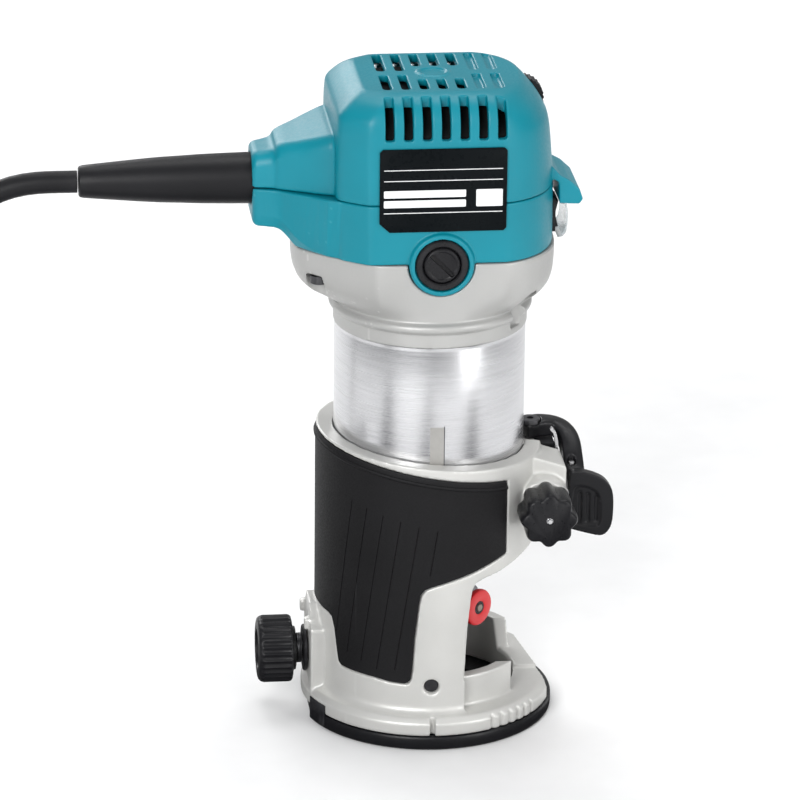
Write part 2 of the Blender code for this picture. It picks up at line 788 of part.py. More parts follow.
def base_casting():
    profile = [
        (APRON_BORE_R, 4.9), (43.4, 4.9), (43.4, 9.3), (41.2, FLANGE_Z), (39.8, 11.8), (WALL_R, 13.6),
        (WALL_R, 110.0), (COLLAR_BORE_R, 110.0), (COLLAR_BORE_R, 30.0), (APRON_BORE_R, 26.6),
    ]
    made = put("base_casting", lathe(profile, 60, ring=True), silver_paint)
    cut(made, rim_cut(), "rim")
    near, far = ears()
    join(made, near, "near_ear")
    join(made, far, "far_ear")
    boss = aimed(lathe([(0, 10), (10.2, 10), (10.2, 26.8), (9.4, 27.6), (0, 27.6)], 28), (0, -1, 0),
                 (PINION_X, 0, PINION_Z))
    join(made, boss, "pinion_boss")
    join(made, guide_block(), "guide_block")
    lips = [box(-43.2, -40.0, -9.8, -6.8, 31.6, 35.8), box(-43.2, -40.0, 6.8, 9.8, 31.6, 35.8)]
    join(made, merged(lips), "guide_lips")
    bore = [(0, 32.0), (COLLAR_BORE_R, 32.0), (COLLAR_BORE_R, 120.0), (0, 120.0)]
    cut(made, lathe(bore, 60), "bore")
    cut(made, window_cut(), "window")
    cut(made, sector(APRON_R, 52.0, FLANGE_Z, 26.0, -76.0, 76.0, 20), "flange_top")
    cut(made, box(18.0, 60.0, -21.0, 9.0, FLANGE_Z, 30.0), "apron_gap")
    cut(made, chord(36.8, 12.5, 0.0, 30.0), "window_chord")
    cut(made, merged([box(-60, BLOCK_X, -50, -13.5, 0, 14), box(-60, BLOCK_X, 13.5, 50, 0, 14)]), "cord_chord")
    cut(made, box(28.0, 60.0, -2.5, 2.5, 55.0, 120.0), "split")
    cut(made, loft(grip_rows(37.2, 46.0, 0.45, GAP)), "grip_recess")
    shaft = [(0, -10), (3.0, -10), (3.0, 40), (0, 40)]
    cut(made, aimed(lathe(shaft, 16), (0, -1, 0), (PINION_X, 0, PINION_Z)), "shaft_hole")
    bolt = [(0, -16), (2.3, -16), (2.3, 40), (0, 40)]
    cut(made, aimed(lathe(bolt, 12), (0, 1, 0), (BOLT_X, 0, BOLT_Z)), "bolt_hole")
    hub_room = lathe([(0, 93.3), (9.2, 93.3), (9.2, 120.0), (0, 120.0)], 32)
    cut(made, moved(hub_room, PIVOT_X, PIVOT_Y), "lever_room")
    cut(made, moved(lathe([(0, 88.8), (2.1, 88.8), (2.1, 110.0), (0, 110.0)], 12), PIVOT_X, PIVOT_Y), "pivot_hole")
    screw = [(0, -2), (2.8, -2), (2.8, 20), (0, 20)]
    cut(made, aimed(lathe(screw, 12), (-1, 0, 0), (-32.0, 0, GUIDE_Z)), "guide_hole")
    tapped = aimed(lathe([(0, 26), (2.3, 26), (2.3, 44), (0, 44)], 12), (-0.06, -1, 0), (0, 0, 22.2))
    notch = prism_y([(-3.6, 16.0), (-1.6, 16.0), (-1.6, 3.0), (-3.6, 3.0)], -46.0, -42.6)
    cut(made, merged([tapped, notch]), "tapped_hole_and_notch")
    holes = [moved(lathe([(0, 3.0), (1.9, 3.0), (1.9, 10.2), (0, 10.2)], 12), x, y) for x, y in PLATE_SCREWS]
    cut(made, merged(holes), "plate_screw_holes")
    return made


def rubber_grip():
    return put("rubber_grip", loft(grip_rows(37.5, GRIP_R, 0.0, 0.0)), black_rubber)


def base_plate():
    profile = [
        (21.0, 0.4), (21.4, 0.0), (PLATE_R - 0.6, 0.0), (PLATE_R, 0.6), (PLATE_R, PLATE_TOP_Z), (21.0, PLATE_TOP_Z),
    ]
    made = put("base_plate", lathe(profile, 60, ring=True), black_plastic)
    cut(made, box(-60, -41.0, -50, 50, -5, 12), "chord")
    holes = [
        moved(lathe([(0, -2), (3.7, -2), (3.7, 1.2), (2.0, 3.0), (2.0, 8.0), (0, 8.0)], 12), x, y)
        for x, y in PLATE_SCREWS
    ]
    cut(made, merged(holes), "screw_holes")
    return made


def plate_screw(index):
    x, y = PLATE_SCREWS[index]
    profile = [(0, 1.0), (0.9, 1.0), (0.9, 0.5), (3.3, 0.5), (3.3, 1.0), (1.6, 2.8), (1.6, 9.8), (0, 9.8)]
    return put(f"plate_screw_{index + 1}", moved(lathe(profile, 12), x, y), steel, (x, y, 0.5))


def pinion_shaft():
    """Pinion in the split, on a shaft through the near ear to the knob."""
    pitch_angle = 2 * math.pi / PINION_TEETH
    outline = []
    for tooth in range(PINION_TEETH):
        for radius, lead in ((4.2, -0.19), (6.0, -0.04), (6.0, 0.04), (4.2, 0.19)):
            angle = math.pi + tooth * pitch_angle + lead
            outline.append((PINION_X + radius * math.cos(angle), PINION_Z + radius * math.sin(angle)))
    rows = [(0, -2.1), (2.6, -2.1), (2.6, 39.6), (0, 39.6)]
    made = put("pinion_shaft", aimed(lathe(rows, 20), (0, -1, 0), (PINION_X, 0, PINION_Z)), steel,
               (PINION_X, -20.0, PINION_Z))
    join(made, prism_y(outline, -1.7, 1.7), "teeth")
    return made


def height_knob():
    """Eight-lobed hand knob."""
    outline = []
    for step in range(48):
        angle = 2 * math.pi * step / 48
        radius = 9.3 + 0.75 * math.cos(8 * angle)
        outline.append((radius, angle))
    rows = []
    for depth, scale in ((28.0, 0.9), (29.0, 0.98), (38.6, 1.0), (39.8, 0.93), (40.0, 0.88)):
        row = []
        for radius, angle in outline:
            x = PINION_X + scale * radius * math.cos(angle)
            row.append((x, -depth, PINION_Z + scale * radius * math.sin(angle)))
        rows.append(row)
    made = put("height_knob", loft(rows), black_plastic, (PINION_X, -34.0, PINION_Z))
    bore = aimed(lathe([(0, 20), (2.9, 20), (2.9, 45), (0, 45)], 20), (0, -1, 0), (PINION_X, 0, PINION_Z))
    cut(made, bore, "bore")
    return made


def clamp_lever():
    """An arm that swings round from the pivot to a ribbed paddle standing in front of it."""
    rows = []
    for index, (x, y, half, low, high) in enumerate(LEVER_PATH):
        before = LEVER_PATH[max(index - 1, 0)]
        after = LEVER_PATH[min(index + 1, len(LEVER_PATH) - 1)]
        along = Vector((after[0] - before[0], after[1] - before[1], 0.0)).normalized()
        side = Vector((along.y, -along.x, 0.0)) * half
        rows.append([
            (x - side.x, y - side.y, low), (x + side.x, y + side.y, low),
            (x + side.x, y + side.y, high - 1.0), (x + 0.6 * side.x, y + 0.6 * side.y, high),
            (x - 0.6 * side.x, y - 0.6 * side.y, high), (x - side.x, y - side.y, high - 1.0),
        ])
    made = put("clamp_lever", loft(rows), black_plastic, (PIVOT_X, PIVOT_Y, 96.0))
    paddle = [
        (48.9, 64.6), (48.9, 82.0), (50.4, 83.8), (57.0, 83.4), (60.6, 81.0), (62.8, 78.2), (63.8, 74.0),
        (64.0, 66.0), (63.2, 62.6), (61.0, 60.6), (58.6, 60.8),
    ]
    join(made, prism_y(paddle, -10.6, -6.4), "paddle")
    hole = [(0, 90), (2.1, 90), (2.1, 98.0), (3.8, 98.0), (3.8, 110), (0, 110)]
    cut(made, moved(lathe(hole, 12), PIVOT_X, PIVOT_Y), "pivot_hole")
    pin = moved(lathe([(0, 78), (1.5, 78), (1.5, 110), (0, 110)], 16), LEVER_PIN_X, LEVER_PIN_Y)
    cut(made, pin, "pin_hole")
    grooves = [box(x - 0.7, x + 0.7, -12.0, -10.1, 65.5, 77.0 - 1.5 * k) for k, x in enumerate((51.6, 54.6, 57.6))]
    cut(made, merged(grooves), "thumb_grooves")
    return made


def lever_pivot_screw():
    profile = [
        (0, 89.2), (1.8, 89.2), (1.8, 98.3), (3.5, 98.3), (3.5, 99.7), (3.2, 100.0), (1.2, 100.0), (1.2, 99.2), (0, 99.2),
    ]
    return put("lever_pivot_screw", moved(lathe(profile, 14), PIVOT_X, PIVOT_Y), dark_steel,
               (PIVOT_X, PIVOT_Y, 96.0))


def lever_pin():
    body = lathe([(0, 81.4), (1.2, 81.4), (1.2, 89.0), (0, 89.0)], 16)
    return put("lever_pin", moved(body, LEVER_PIN_X, LEVER_PIN_Y), steel)


def clamp_link():
    """Bent steel strip standing against the inside of the arm, above the ears."""
    outline = [
        (42.8, 98.8), (43.8, 99.6), (44.8, 98.6), (45.8, 95.6), (45.8, 93.8), (44.6, 93.8), (44.6, 95.4),
        (43.7, 97.6),
    ]
    return put("clamp_link", prism_y(outline, 0.4, 3.4), steel, (PIVOT_X, PIVOT_Y, 96.0))


def clamp_bolt():
    body = lathe([(0, -15.4), (2.0, -15.4), (2.0, EAR_FAR_Y + 4.0), (0, EAR_FAR_Y + 4.0)], 20)
    return put("clamp_bolt", aimed(body, (0, 1, 0), (BOLT_X, 0, BOLT_Z)), dark_steel)


def clamp_nut():
    made = put("clamp_nut", aimed(hexagon(7.0, EAR_FAR_Y + 0.3, EAR_FAR_Y + 3.4, 0.0), (0, 1, 0), (BOLT_X, 0, BOLT_Z)), dark_steel)
    cut(made, aimed(lathe([(0, 5), (2.3, 5), (2.3, 40), (0, 40)], 20), (0, 1, 0), (BOLT_X, 0, BOLT_Z)), "bore")
    return made


def guide_knob():
    """Knurled thumb knob with a smooth collar towards the base."""
    rows = []
    count = 24
    for x, radius, depth in (
        (-58.8, 10.6, 0.0), (-58.4, 11.4, 0.0), (-57.6, 11.7, 0.45), (-47.6, 11.7, 0.45), (-47.0, 11.2, 0.0),
        (-46.9, 7.6, 0.0), (-45.6, 7.4, 0.0),
    ):
        row = []
        for step in range(count * 2):
            angle = math.pi * step / count
            reach_r = radius - depth * (step % 2)
            row.append((x, reach_r * math.cos(angle), GUIDE_Z + reach_r * math.sin(angle)))
        rows.append(row)
    made = put("guide_knob", loft(rows), black_plastic, (-52.0, 0.0, GUIDE_Z))
    cut(made, aimed(lathe([(0, 0), (2.7, 0), (2.7, 12), (0, 12)], 24), (-1, 0, 0), (-44, 0, GUIDE_Z)), "bore")
    return made


def guide_screw():
    body = lathe([(0, 34.0), (2.0, 34.0), (2.4, 34.6), (2.4, 55.6), (0, 55.6)], 20)
    return put("guide_screw", aimed(body, (-1, 0, 0), (0, 0, GUIDE_Z)), dark_steel, (-52.0, 0.0, GUIDE_Z))


def guide_spring():
    profile = [
        (3.6, 43.3), (5.0, 43.3), (5.7, 43.7), (5.0, 44.1), (5.7, 44.5), (5.0, 44.9), (5.4, 45.3), (3.6, 45.3),
    ]
    body = lathe(profile, 16, ring=True)
    return put("guide_spring", aimed(body, (-1, 0, 0), (0, 0, GUIDE_Z)), dark_steel)


def guide_washer():
    profile = [(2.8, 41.7), (8.1, 41.7), (8.1, 42.7), (7.8, 43.0), (2.8, 43.0)]
    body = lathe(profile, 24, ring=True)
    return put("guide_washer", aimed(body, (-1, 0, 0), (0, 0, GUIDE_Z)), black_plastic, (-42.3, 0, GUIDE_Z))


# ---------------------------------------------------------------- cord


def arc(centre_a, centre_b, radius, start, stop, steps):
    """Points of a flat arc, its first point left out."""
    made = []
    for step in range(1, steps + 1):
        angle = start + (stop - start) * step / steps
        made.append((centre_a + radius * math.cos(angle), centre_b + radius * math.sin(angle)))
    return made


def ease(share):
    share = min(1.0, max(0.0, share))
    return share * share * (3.0 - 2.0 * share)


def cord_route():
    """Side view of the droop, with an even drift sideways to the far side of the coil."""
    side = [(CORD_EXIT_X, CORD_Z), ((CORD_EXIT_X + CORD_BEND_X) / 2, CORD_Z), (CORD_BEND_X, CORD_Z)]
    side += arc(CORD_BEND_X, CORD_Z - CORD_BEND_R, CORD_BEND_R, math.pi / 2, math.pi, 6)
    fall_x, fall_z = side[-1]
    land_x = COIL_X + CORD_LAND_R
    land_z = CORD_LAND_Z + CORD_LAND_R
    for step in range(1, 11):
        share = step / 10
        side.append((fall_x + share * (land_x - fall_x), fall_z + share * (land_z - fall_z)))
    side += arc(COIL_X, land_z, CORD_LAND_R, 0.0, -math.pi / 2, 6)
    gone = [0.0]
    for before, after in zip(side, side[1:]):
        gone.append(gone[-1] + math.dist(before, after))
    reach_y = COIL_Y + COIL_R
    return [(x, reach_y * ease((far - 22.0) / (gone[-1] - 34.0)), z) for (x, z), far in zip(side, gone)]


def tail_route():
    """From the outer strand of the coil round to the plug that lies beside it."""
    c = math.cos(TAIL_ANGLE)
    s = math.sin(TAIL_ANGLE)
    start_x = COIL_X + TAIL_STRAND_R * c - TAIL_STRAIGHT * s
    start_y = COIL_Y + TAIL_STRAND_R * s + TAIL_STRAIGHT * c
    flat = [(start_x, start_y)]
    flat += arc(start_x - TAIL_BEND_R * c, start_y - TAIL_BEND_R * s, TAIL_BEND_R, TAIL_ANGLE, math.pi, 8)
    flat.append((flat[-1][0], flat[-1][1] - TAIL_END))
    bend = TAIL_BEND_R * (math.pi - TAIL_ANGLE)
    whole = TAIL_STRAIGHT + bend + TAIL_END
    made = []
    for index, (x, y) in enumerate(flat):
        gone = TAIL_STRAIGHT + bend * min(index, 8) / 8 + TAIL_END * max(index - 8, 0)
        rise = ease((gone - 8.0) / (whole - 8.0))
        made.append((x, y, TAIL_STRAND_Z + rise * (PLUG_Z - TAIL_STRAND_Z)))
    return made


def smooth_route(points, count):
    """Even steps along a smooth curve through the given points."""
    fine = []
    padded = [points[0]] + points + [points[-1]]
    for index in range(1, len(padded) - 2):
        p0, p1, p2, p3 = (Vector(p) for p in padded[index - 1:index + 3])
        for step in range(24):
            t = step / 24
            fine.append(0.5 * (2 * p1 + (p2 - p0) * t + (2 * p0 - 5 * p1 + 4 * p2 - p3) * t * t
                               + (3 * p1 - p0 - 3 * p2 + p3) * t * t * t))
    fine.append(Vector(points[-1]))
    lengths = [0.0]
    for before, after in zip(fine, fine[1:]):
        lengths.append(lengths[-1] + (after - before).length)
    made = []
    for step in range(count):
        goal = lengths[-1] * step / (count - 1)
        index = max(i for i, length in enumerate(lengths) if length <= goal + 1e-9)
        index = min(index, len(fine) - 2)
        share = (goal - lengths[index]) / (lengths[index + 1] - lengths[index])
        made.append(fine[index].lerp(fine[index + 1], share))
    return made


def tube(name, route, count):
    data = bpy.data.curves.new(name, "CURVE")
    data.dimensions = "3D"
    line = data.splines.new("POLY")
    line.points.add(count - 1)
    for target, point in zip(line.points, smooth_route(route, count)):
        target.co = (*(point * MM), 1.0)
    data.bevel_depth = CORD_D / 2 * MM
    data.bevel_resolution = 2
    data.use_fill_caps = True
    data.materials.append(black_rubber(name + "_material"))
    made = bpy.data.objects.new(name, data)
    bpy.context.scene.collection.objects.link(made)
    made.parent = bpy.data.objects["frame_root"]
    return made


def cord_coil():
    """Outer shape of the tied coil: nine turns side by side in three layers."""
    top = COIL_LOW_Z + 21.2
    section = [
        (COIL_R - 15.4, COIL_LOW_Z), (COIL_R + 15.4, COIL_LOW_Z), (COIL_R + 15.4, COIL_LOW_Z + 6.0),
        (COIL_R + 7.6, top), (COIL_R - 7.6, top), (COIL_R - 15.4, COIL_LOW_Z + 6.0),
    ]
    return put("cord_coil", moved(lathe(section, 32, ring=True), COIL_X, COIL_Y, 0.0), black_rubber)


def plug():
    """Round two-pin plug lying on its side, with a ribbed relief towards the cord."""
    x, y, z = tail_route()[-1]
    profile = [
        (0, 0.4), (5.0, 0.4), (5.6, 2.0), (6.6, 9.4), (8.6, 14.6), (14.6, 20.6), (16.2, 26.0), (16.3, 43.0),
        (15.4, 45.0), (0, 45.0),
    ]
    made = put("plug", aimed(lathe(profile, 24), (0, -1, 0), (x, y, z)), black_plastic)
    pins = []
    for side in (-9.5, 9.5):
        profile = [(0, 40.0), (2.4, 40.0), (2.4, 63.0), (1.6, 64.0), (0, 64.0)]
        pins.append(aimed(lathe(profile, 10), (0, -1, 0), (x + side, y, z)))
    join(made, merged(pins), "pins")
    return made


def winding(name, inner, outer, low, high):
    """A bound ring of wire with rounded shoulders."""
    soft = 2.2
    profile = [
        (inner, low + soft), (inner + soft, low), (outer - soft, low), (outer, low + soft),
        (outer, high - soft), (outer - soft, high), (inner + soft, high), (inner, high - soft),
    ]
    return put(name, lathe(profile, 24, ring=True), copper)


def armature_core():
    """Slotted stack of laminations."""
    outline = []
    for tooth in range(12):
        for radius, lead in ((12.5, -0.17), (14.6, -0.17), (17.0, -0.225), (17.0, 0.225), (14.6, 0.17), (12.5, 0.17)):
            angle = 2 * math.pi * tooth / 12 + lead
            outline.append((radius * math.cos(angle), radius * math.sin(angle)))
    made = put("armature_core", prism(outline, 92.0, 140.0), dark_steel)
    cut(made, lathe([(0, 80.0), (5.3, 80.0), (5.3, 150.0), (0, 150.0)], 32), "bore")
    return made


def assemble():
    clear_scene()
    frame_root()
    top_cover()
    motor_housing()
    motor_body()
    for index in range(4):
        housing_screw(index)
        plate_screw(index)
    name_plate()
    spindle_nose()
    lock_button()
    lock_pin()
    spindle()
    collet()
    collet_nut()
    bearing("bearing_lower", 6.2, 11.0, 56.0, 63.4)
    bearing("bearing_upper", 4.3, 11.0, 185.2, 191.4)
    fan()
    armature_core()
    winding("armature_winding_lower", 5.6, 15.8, 82.0, 91.7)
    winding("armature_winding_upper", 5.6, 15.4, 140.3, 150.0)
    rotor_ring("commutator", 5.3, 11.5, 161.0, 179.0, copper)
    rotor_ring("field_core", 18.0, 28.5, 93.0, 139.0, dark_steel)
    winding("field_winding_lower", 18.6, 27.0, 84.0, 92.7)
    winding("field_winding_upper", 18.6, 27.0, 139.3, 148.0)
    for side, place in ((-1, "near"), (1, "far")):
        brush_holder("brush_holder_" + place, side)
        brush("brush_" + place, side)
        brush_cap("brush_cap_" + place, side)
    control_board()
    speed_dial()
    switch_body()
    switch_rocker()
    switch_cover()
    cord_guard()
    rack()
    base_casting()
    rubber_grip()
    base_plate()
    pinion_shaft()
    height_knob()
    clamp_lever()
    lever_pivot_screw()
    lever_pin()
    clamp_link()
    clamp_bolt()
    clamp_nut()
    guide_knob()
    guide_screw()
    guide_spring()
    guide_washer()
    tube("cord_tube", cord_route(), 20)
    tube("cord_tail", tail_route(), 9)
    cord_coil()
    plug()


assemble()
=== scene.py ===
"""Finished look of the trim router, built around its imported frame.

Lengths are millimetres from the spindle axis and the sole, unless a name ends in _m.
"""

import math

import bmesh
import bpy
from mathutils import Matrix, Vector


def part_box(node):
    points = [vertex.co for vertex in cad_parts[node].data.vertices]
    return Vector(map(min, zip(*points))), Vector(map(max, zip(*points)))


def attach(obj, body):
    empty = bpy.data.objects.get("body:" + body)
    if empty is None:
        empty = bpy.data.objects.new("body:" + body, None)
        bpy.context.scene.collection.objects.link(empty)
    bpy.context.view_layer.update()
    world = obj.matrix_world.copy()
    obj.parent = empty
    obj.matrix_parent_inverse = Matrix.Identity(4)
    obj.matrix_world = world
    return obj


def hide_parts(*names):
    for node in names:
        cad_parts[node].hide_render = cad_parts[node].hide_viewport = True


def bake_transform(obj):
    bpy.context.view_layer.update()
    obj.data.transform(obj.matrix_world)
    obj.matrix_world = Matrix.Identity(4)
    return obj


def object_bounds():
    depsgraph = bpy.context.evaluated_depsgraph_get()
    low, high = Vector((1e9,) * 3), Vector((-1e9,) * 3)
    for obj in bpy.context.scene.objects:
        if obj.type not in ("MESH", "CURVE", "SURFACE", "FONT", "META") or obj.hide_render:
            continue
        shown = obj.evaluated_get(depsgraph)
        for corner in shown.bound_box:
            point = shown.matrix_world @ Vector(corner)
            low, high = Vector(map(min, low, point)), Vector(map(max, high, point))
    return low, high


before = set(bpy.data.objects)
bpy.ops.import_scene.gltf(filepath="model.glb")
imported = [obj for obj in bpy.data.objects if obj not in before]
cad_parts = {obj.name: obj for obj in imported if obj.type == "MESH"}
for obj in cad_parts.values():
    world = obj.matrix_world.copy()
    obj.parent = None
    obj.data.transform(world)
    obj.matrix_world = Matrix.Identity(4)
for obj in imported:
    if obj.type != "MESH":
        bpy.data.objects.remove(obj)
cad_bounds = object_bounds()

MM = 0.001


def centre_of(node):
    low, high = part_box(node)
    return [(low[axis] + high[axis]) / 2 / MM for axis in range(3)]


def low_of(node, axis):
    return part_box(node)[0][axis] / MM


def high_of(node, axis):
    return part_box(node)[1][axis] / MM


AXIS_X, AXIS_Y, _ = centre_of("bearing_lower")
ROOF_Z = high_of("top_cover", 2)
SEAM_Z = high_of("motor_housing", 2)
HOUSING_LOW_Z = high_of("motor_body", 2) + 0.3
FLANGE_TOP_Z = high_of("motor_body", 2)
BODY_BOTTOM_Z = low_of("motor_body", 2)
PLATE_TOP_Z = high_of("base_plate", 2)
PLATE_R = high_of("base_plate", 1)
CORD_Z = centre_of("cord_guard")[2]
PINION_X = centre_of("height_knob")[0] - AXIS_X
PINION_Z = centre_of("height_knob")[2]
GUIDE_Z = centre_of("guide_screw")[2]
BRUSH_Z = centre_of("brush_near")[2]
PIVOT_X = centre_of("lever_pivot_screw")[0] - AXIS_X
PIVOT_Y = centre_of("lever_pivot_screw")[1]
DIAL_X = centre_of("speed_dial")[0] - AXIS_X
DIAL_Z = centre_of("speed_dial")[2]
LOCK_Z = centre_of("lock_button")[2]
PLUG_X, PLUG_Y, PLUG_Z = centre_of("plug")[0] - AXIS_X, high_of("plug", 1), centre_of("plug")[2]

MOTOR_R = 32.5
WALL_R = 38.5
COLLAR_BORE_R = 32.8
APRON_R = 34.5
APRON_BORE_R = 29.5
APRON_TOP_Z = 22.5
FLANGE_Z = 11.4
TAPPED_Z = 21.2
RIM_Z = 100.4
RIM_SLOPE = 0.1
GRIP_R = 38.7
GRIP_END = 128.0
BLOCK_X = -41.3
EAR_FAR_Y = 12.2
CORD_D = 7.5
COIL_X = centre_of("cord_coil")[0] - AXIS_X
COIL_Y = centre_of("cord_coil")[1]
COIL_LOW_Z = low_of("cord_coil", 2)
COIL_R = 39.8

# Route of the cord, as in the part: out of the guard, over, down and onto the coil, then off it to the plug
CORD_EXIT_X = -118.8
CORD_BEND_X = -132.0
CORD_BEND_R = 33.0
CORD_LAND_Z = 27.4
CORD_LAND_R = 34.0
TAIL_STRAND_R = COIL_R + 11.4
TAIL_STRAND_Z = COIL_LOW_Z + 3.95
TAIL_ANGLE = math.radians(100.0)
TAIL_STRAIGHT = 34.0
TAIL_BEND_R = 36.0
TAIL_END = 4.0


# ---------------------------------------------------------------- camera, light and floor

VIEW_DISTANCE = 1700.0
VIEW_ELEVATION = 21.0
VIEW_AZIMUTH = 6.8
VIEW_ROLL = 0.76
VIEW_TARGET_Z = 100.0
FOCAL_PIXELS = 4969.0
FRAME_PIXELS = 800.0
SENSOR = 36.0
VIEW_SHIFT = (-0.0353, 0.0386)


def linked(name, data):
    made = bpy.data.objects.new(name, data)
    bpy.context.scene.collection.objects.link(made)
    return made


def set_values(node, values):
    """Lower-case names are a node's own settings, the others its sockets."""
    for name, value in values.items():
        if name.islower():
            setattr(node, name, value)
        else:
            node.inputs[name.replace("_", " ")].default_value = value


def add_node(tree, kind, wires=(), **values):
    """A shader node with its settings; each wire is an output and the socket it feeds."""
    made = tree.nodes.new("ShaderNode" + kind)
    set_values(made, values)
    for output, socket in wires:
        tree.links.new(output, made.inputs[socket])
    return made


def set_ramp(ramp, *stops):
    for element, (position, colour) in zip(ramp.color_ramp.elements, stops):
        element.position = position
        element.color = colour


def grid_sheet(name, segments, size, material):
    body = bmesh.new()
    bmesh.ops.create_grid(body, x_segments=segments, y_segments=segments, size=size)
    mesh = bpy.data.meshes.new(name)
    body.to_mesh(mesh)
    body.free()
    mesh.materials.append(material)
    return linked(name, mesh)


def camera():
    data = bpy.data.cameras.new("view_camera")
    data.sensor_width = SENSOR
    data.lens = FOCAL_PIXELS * SENSOR / FRAME_PIXELS
    data.shift_x, data.shift_y = VIEW_SHIFT
    data.clip_start = 0.05
    data.clip_end = 30.0
    made = linked("view_camera", data)
    level = math.radians(VIEW_ELEVATION)
    side = math.radians(VIEW_AZIMUTH)
    away = Vector((-math.sin(side) * math.cos(level), -math.cos(side) * math.cos(level), math.sin(level)))
    target = Vector((AXIS_X, AXIS_Y, VIEW_TARGET_Z)) * MM
    made.location = target + away * VIEW_DISTANCE * MM
    turn = (-away).to_track_quat("-Z", "Y").to_matrix().to_4x4()
    roll = Matrix.Rotation(math.radians(VIEW_ROLL), 4, "Z")
    made.matrix_world = Matrix.Translation(made.location) @ turn @ roll
    bpy.context.scene.camera = made


# Name, place and size in metres, power in watts
LIGHTS = [
    ("key_light", (-0.75, -1.6, 0.95), (0.8, 1.0), 27.0), ("fill_light", (1.2, -1.3, 0.6), (0.5, 1.2), 11.0),
    ("top_light", (0.1, 0.5, 1.9), (1.3, 1.0), 15.0), ("back_light", (-0.6, 1.5, 0.9), (1.0, 1.0), 14.0),
]
LIGHT_TARGET = (0.0, 0.0, 0.1)
SKY_STRENGTH = 0.56
SKY_WAVES = 3.2


def area_light(name, place, size, power):
    data = bpy.data.lights.new(name, "AREA")
    data.shape = "RECTANGLE"
    data.size, data.size_y = size
    data.energy = power
    made = linked(name, data)
    made.location = place
    made.rotation_euler = (Vector(LIGHT_TARGET) - Vector(place)).to_track_quat("-Z", "Y").to_euler()


def studio():
    world = bpy.data.worlds.new("studio_world")
    bpy.context.scene.world = world
    world.use_nodes = True
    tree = world.node_tree
    tree.nodes.clear()
    place = add_node(tree, "TexCoord")
    split = add_node(tree, "SeparateXYZ", [(place.outputs["Generated"], 0)])
    bands = add_node(tree, "Math", [(split.outputs["X"], 0)], operation="MULTIPLY")
    bands.inputs[1].default_value = SKY_WAVES
    wave = add_node(tree, "Math", [(bands.outputs[0], 0)], operation="SINE")
    ramp = add_node(tree, "ValToRGB", [(wave.outputs[0], 0)])
    set_ramp(ramp, (0.0, (0.34, 0.35, 0.37, 1)), (0.75, (1, 1, 1, 1)))
    sky = add_node(tree, "Background", [(ramp.outputs[0], 0)], Strength=SKY_STRENGTH)
    add_node(tree, "OutputWorld", [(sky.outputs[0], 0)])
    for light in LIGHTS:
        area_light(*light)
    bpy.context.scene.view_settings.view_transform = "Standard"
    bpy.context.scene.view_settings.look = "None"


# Flags: name, degrees round the router from the camera side, width
FLAGS = [("flag_left", -52.0, 0.10), ("flag_middle", -4.0, 0.075), ("flag_right", 47.0, 0.09)]
FLAG_REACH_M = 0.62
FLAG_LENGTH = 1.4
FLAG_LIFT_M = 0.0006
FLOOR_DROP_M = 0.0002
FLOOR_HALF_M = 28.0


def shade_cards():
    """Dark flags just outside the view that only reflections see: the bands on the turned cylinder."""
    ink = surface("flag_cloth", (0.05, 0.05, 0.055), 0.9, (300.0, 0.02, 0.05))
    for name, azimuth, wide in FLAGS:
        made = grid_sheet(name, 1, 0.5, ink)
        side = math.radians(azimuth)
        made.scale = (wide, FLAG_LENGTH, 1.0)
        made.location = (FLAG_REACH_M * math.sin(side), -FLAG_REACH_M * math.cos(side), cad_bounds[0][2] + FLAG_LIFT_M)
        made.rotation_euler = (0.0, 0.0, side)
        for seen in ("visible_camera", "visible_diffuse", "visible_shadow", "visible_transmission"):
            setattr(made, seen, False)


def floor():
    paper = surface("floor_paper", (0.93, 0.93, 0.93), 0.85, (400.0, 0.02, 0.02))
    made = grid_sheet("floor", 2, FLOOR_HALF_M, paper)
    made.location = (0.0, 0.0, cad_bounds[0][2] - FLOOR_DROP_M)


# ---------------------------------------------------------------- materials


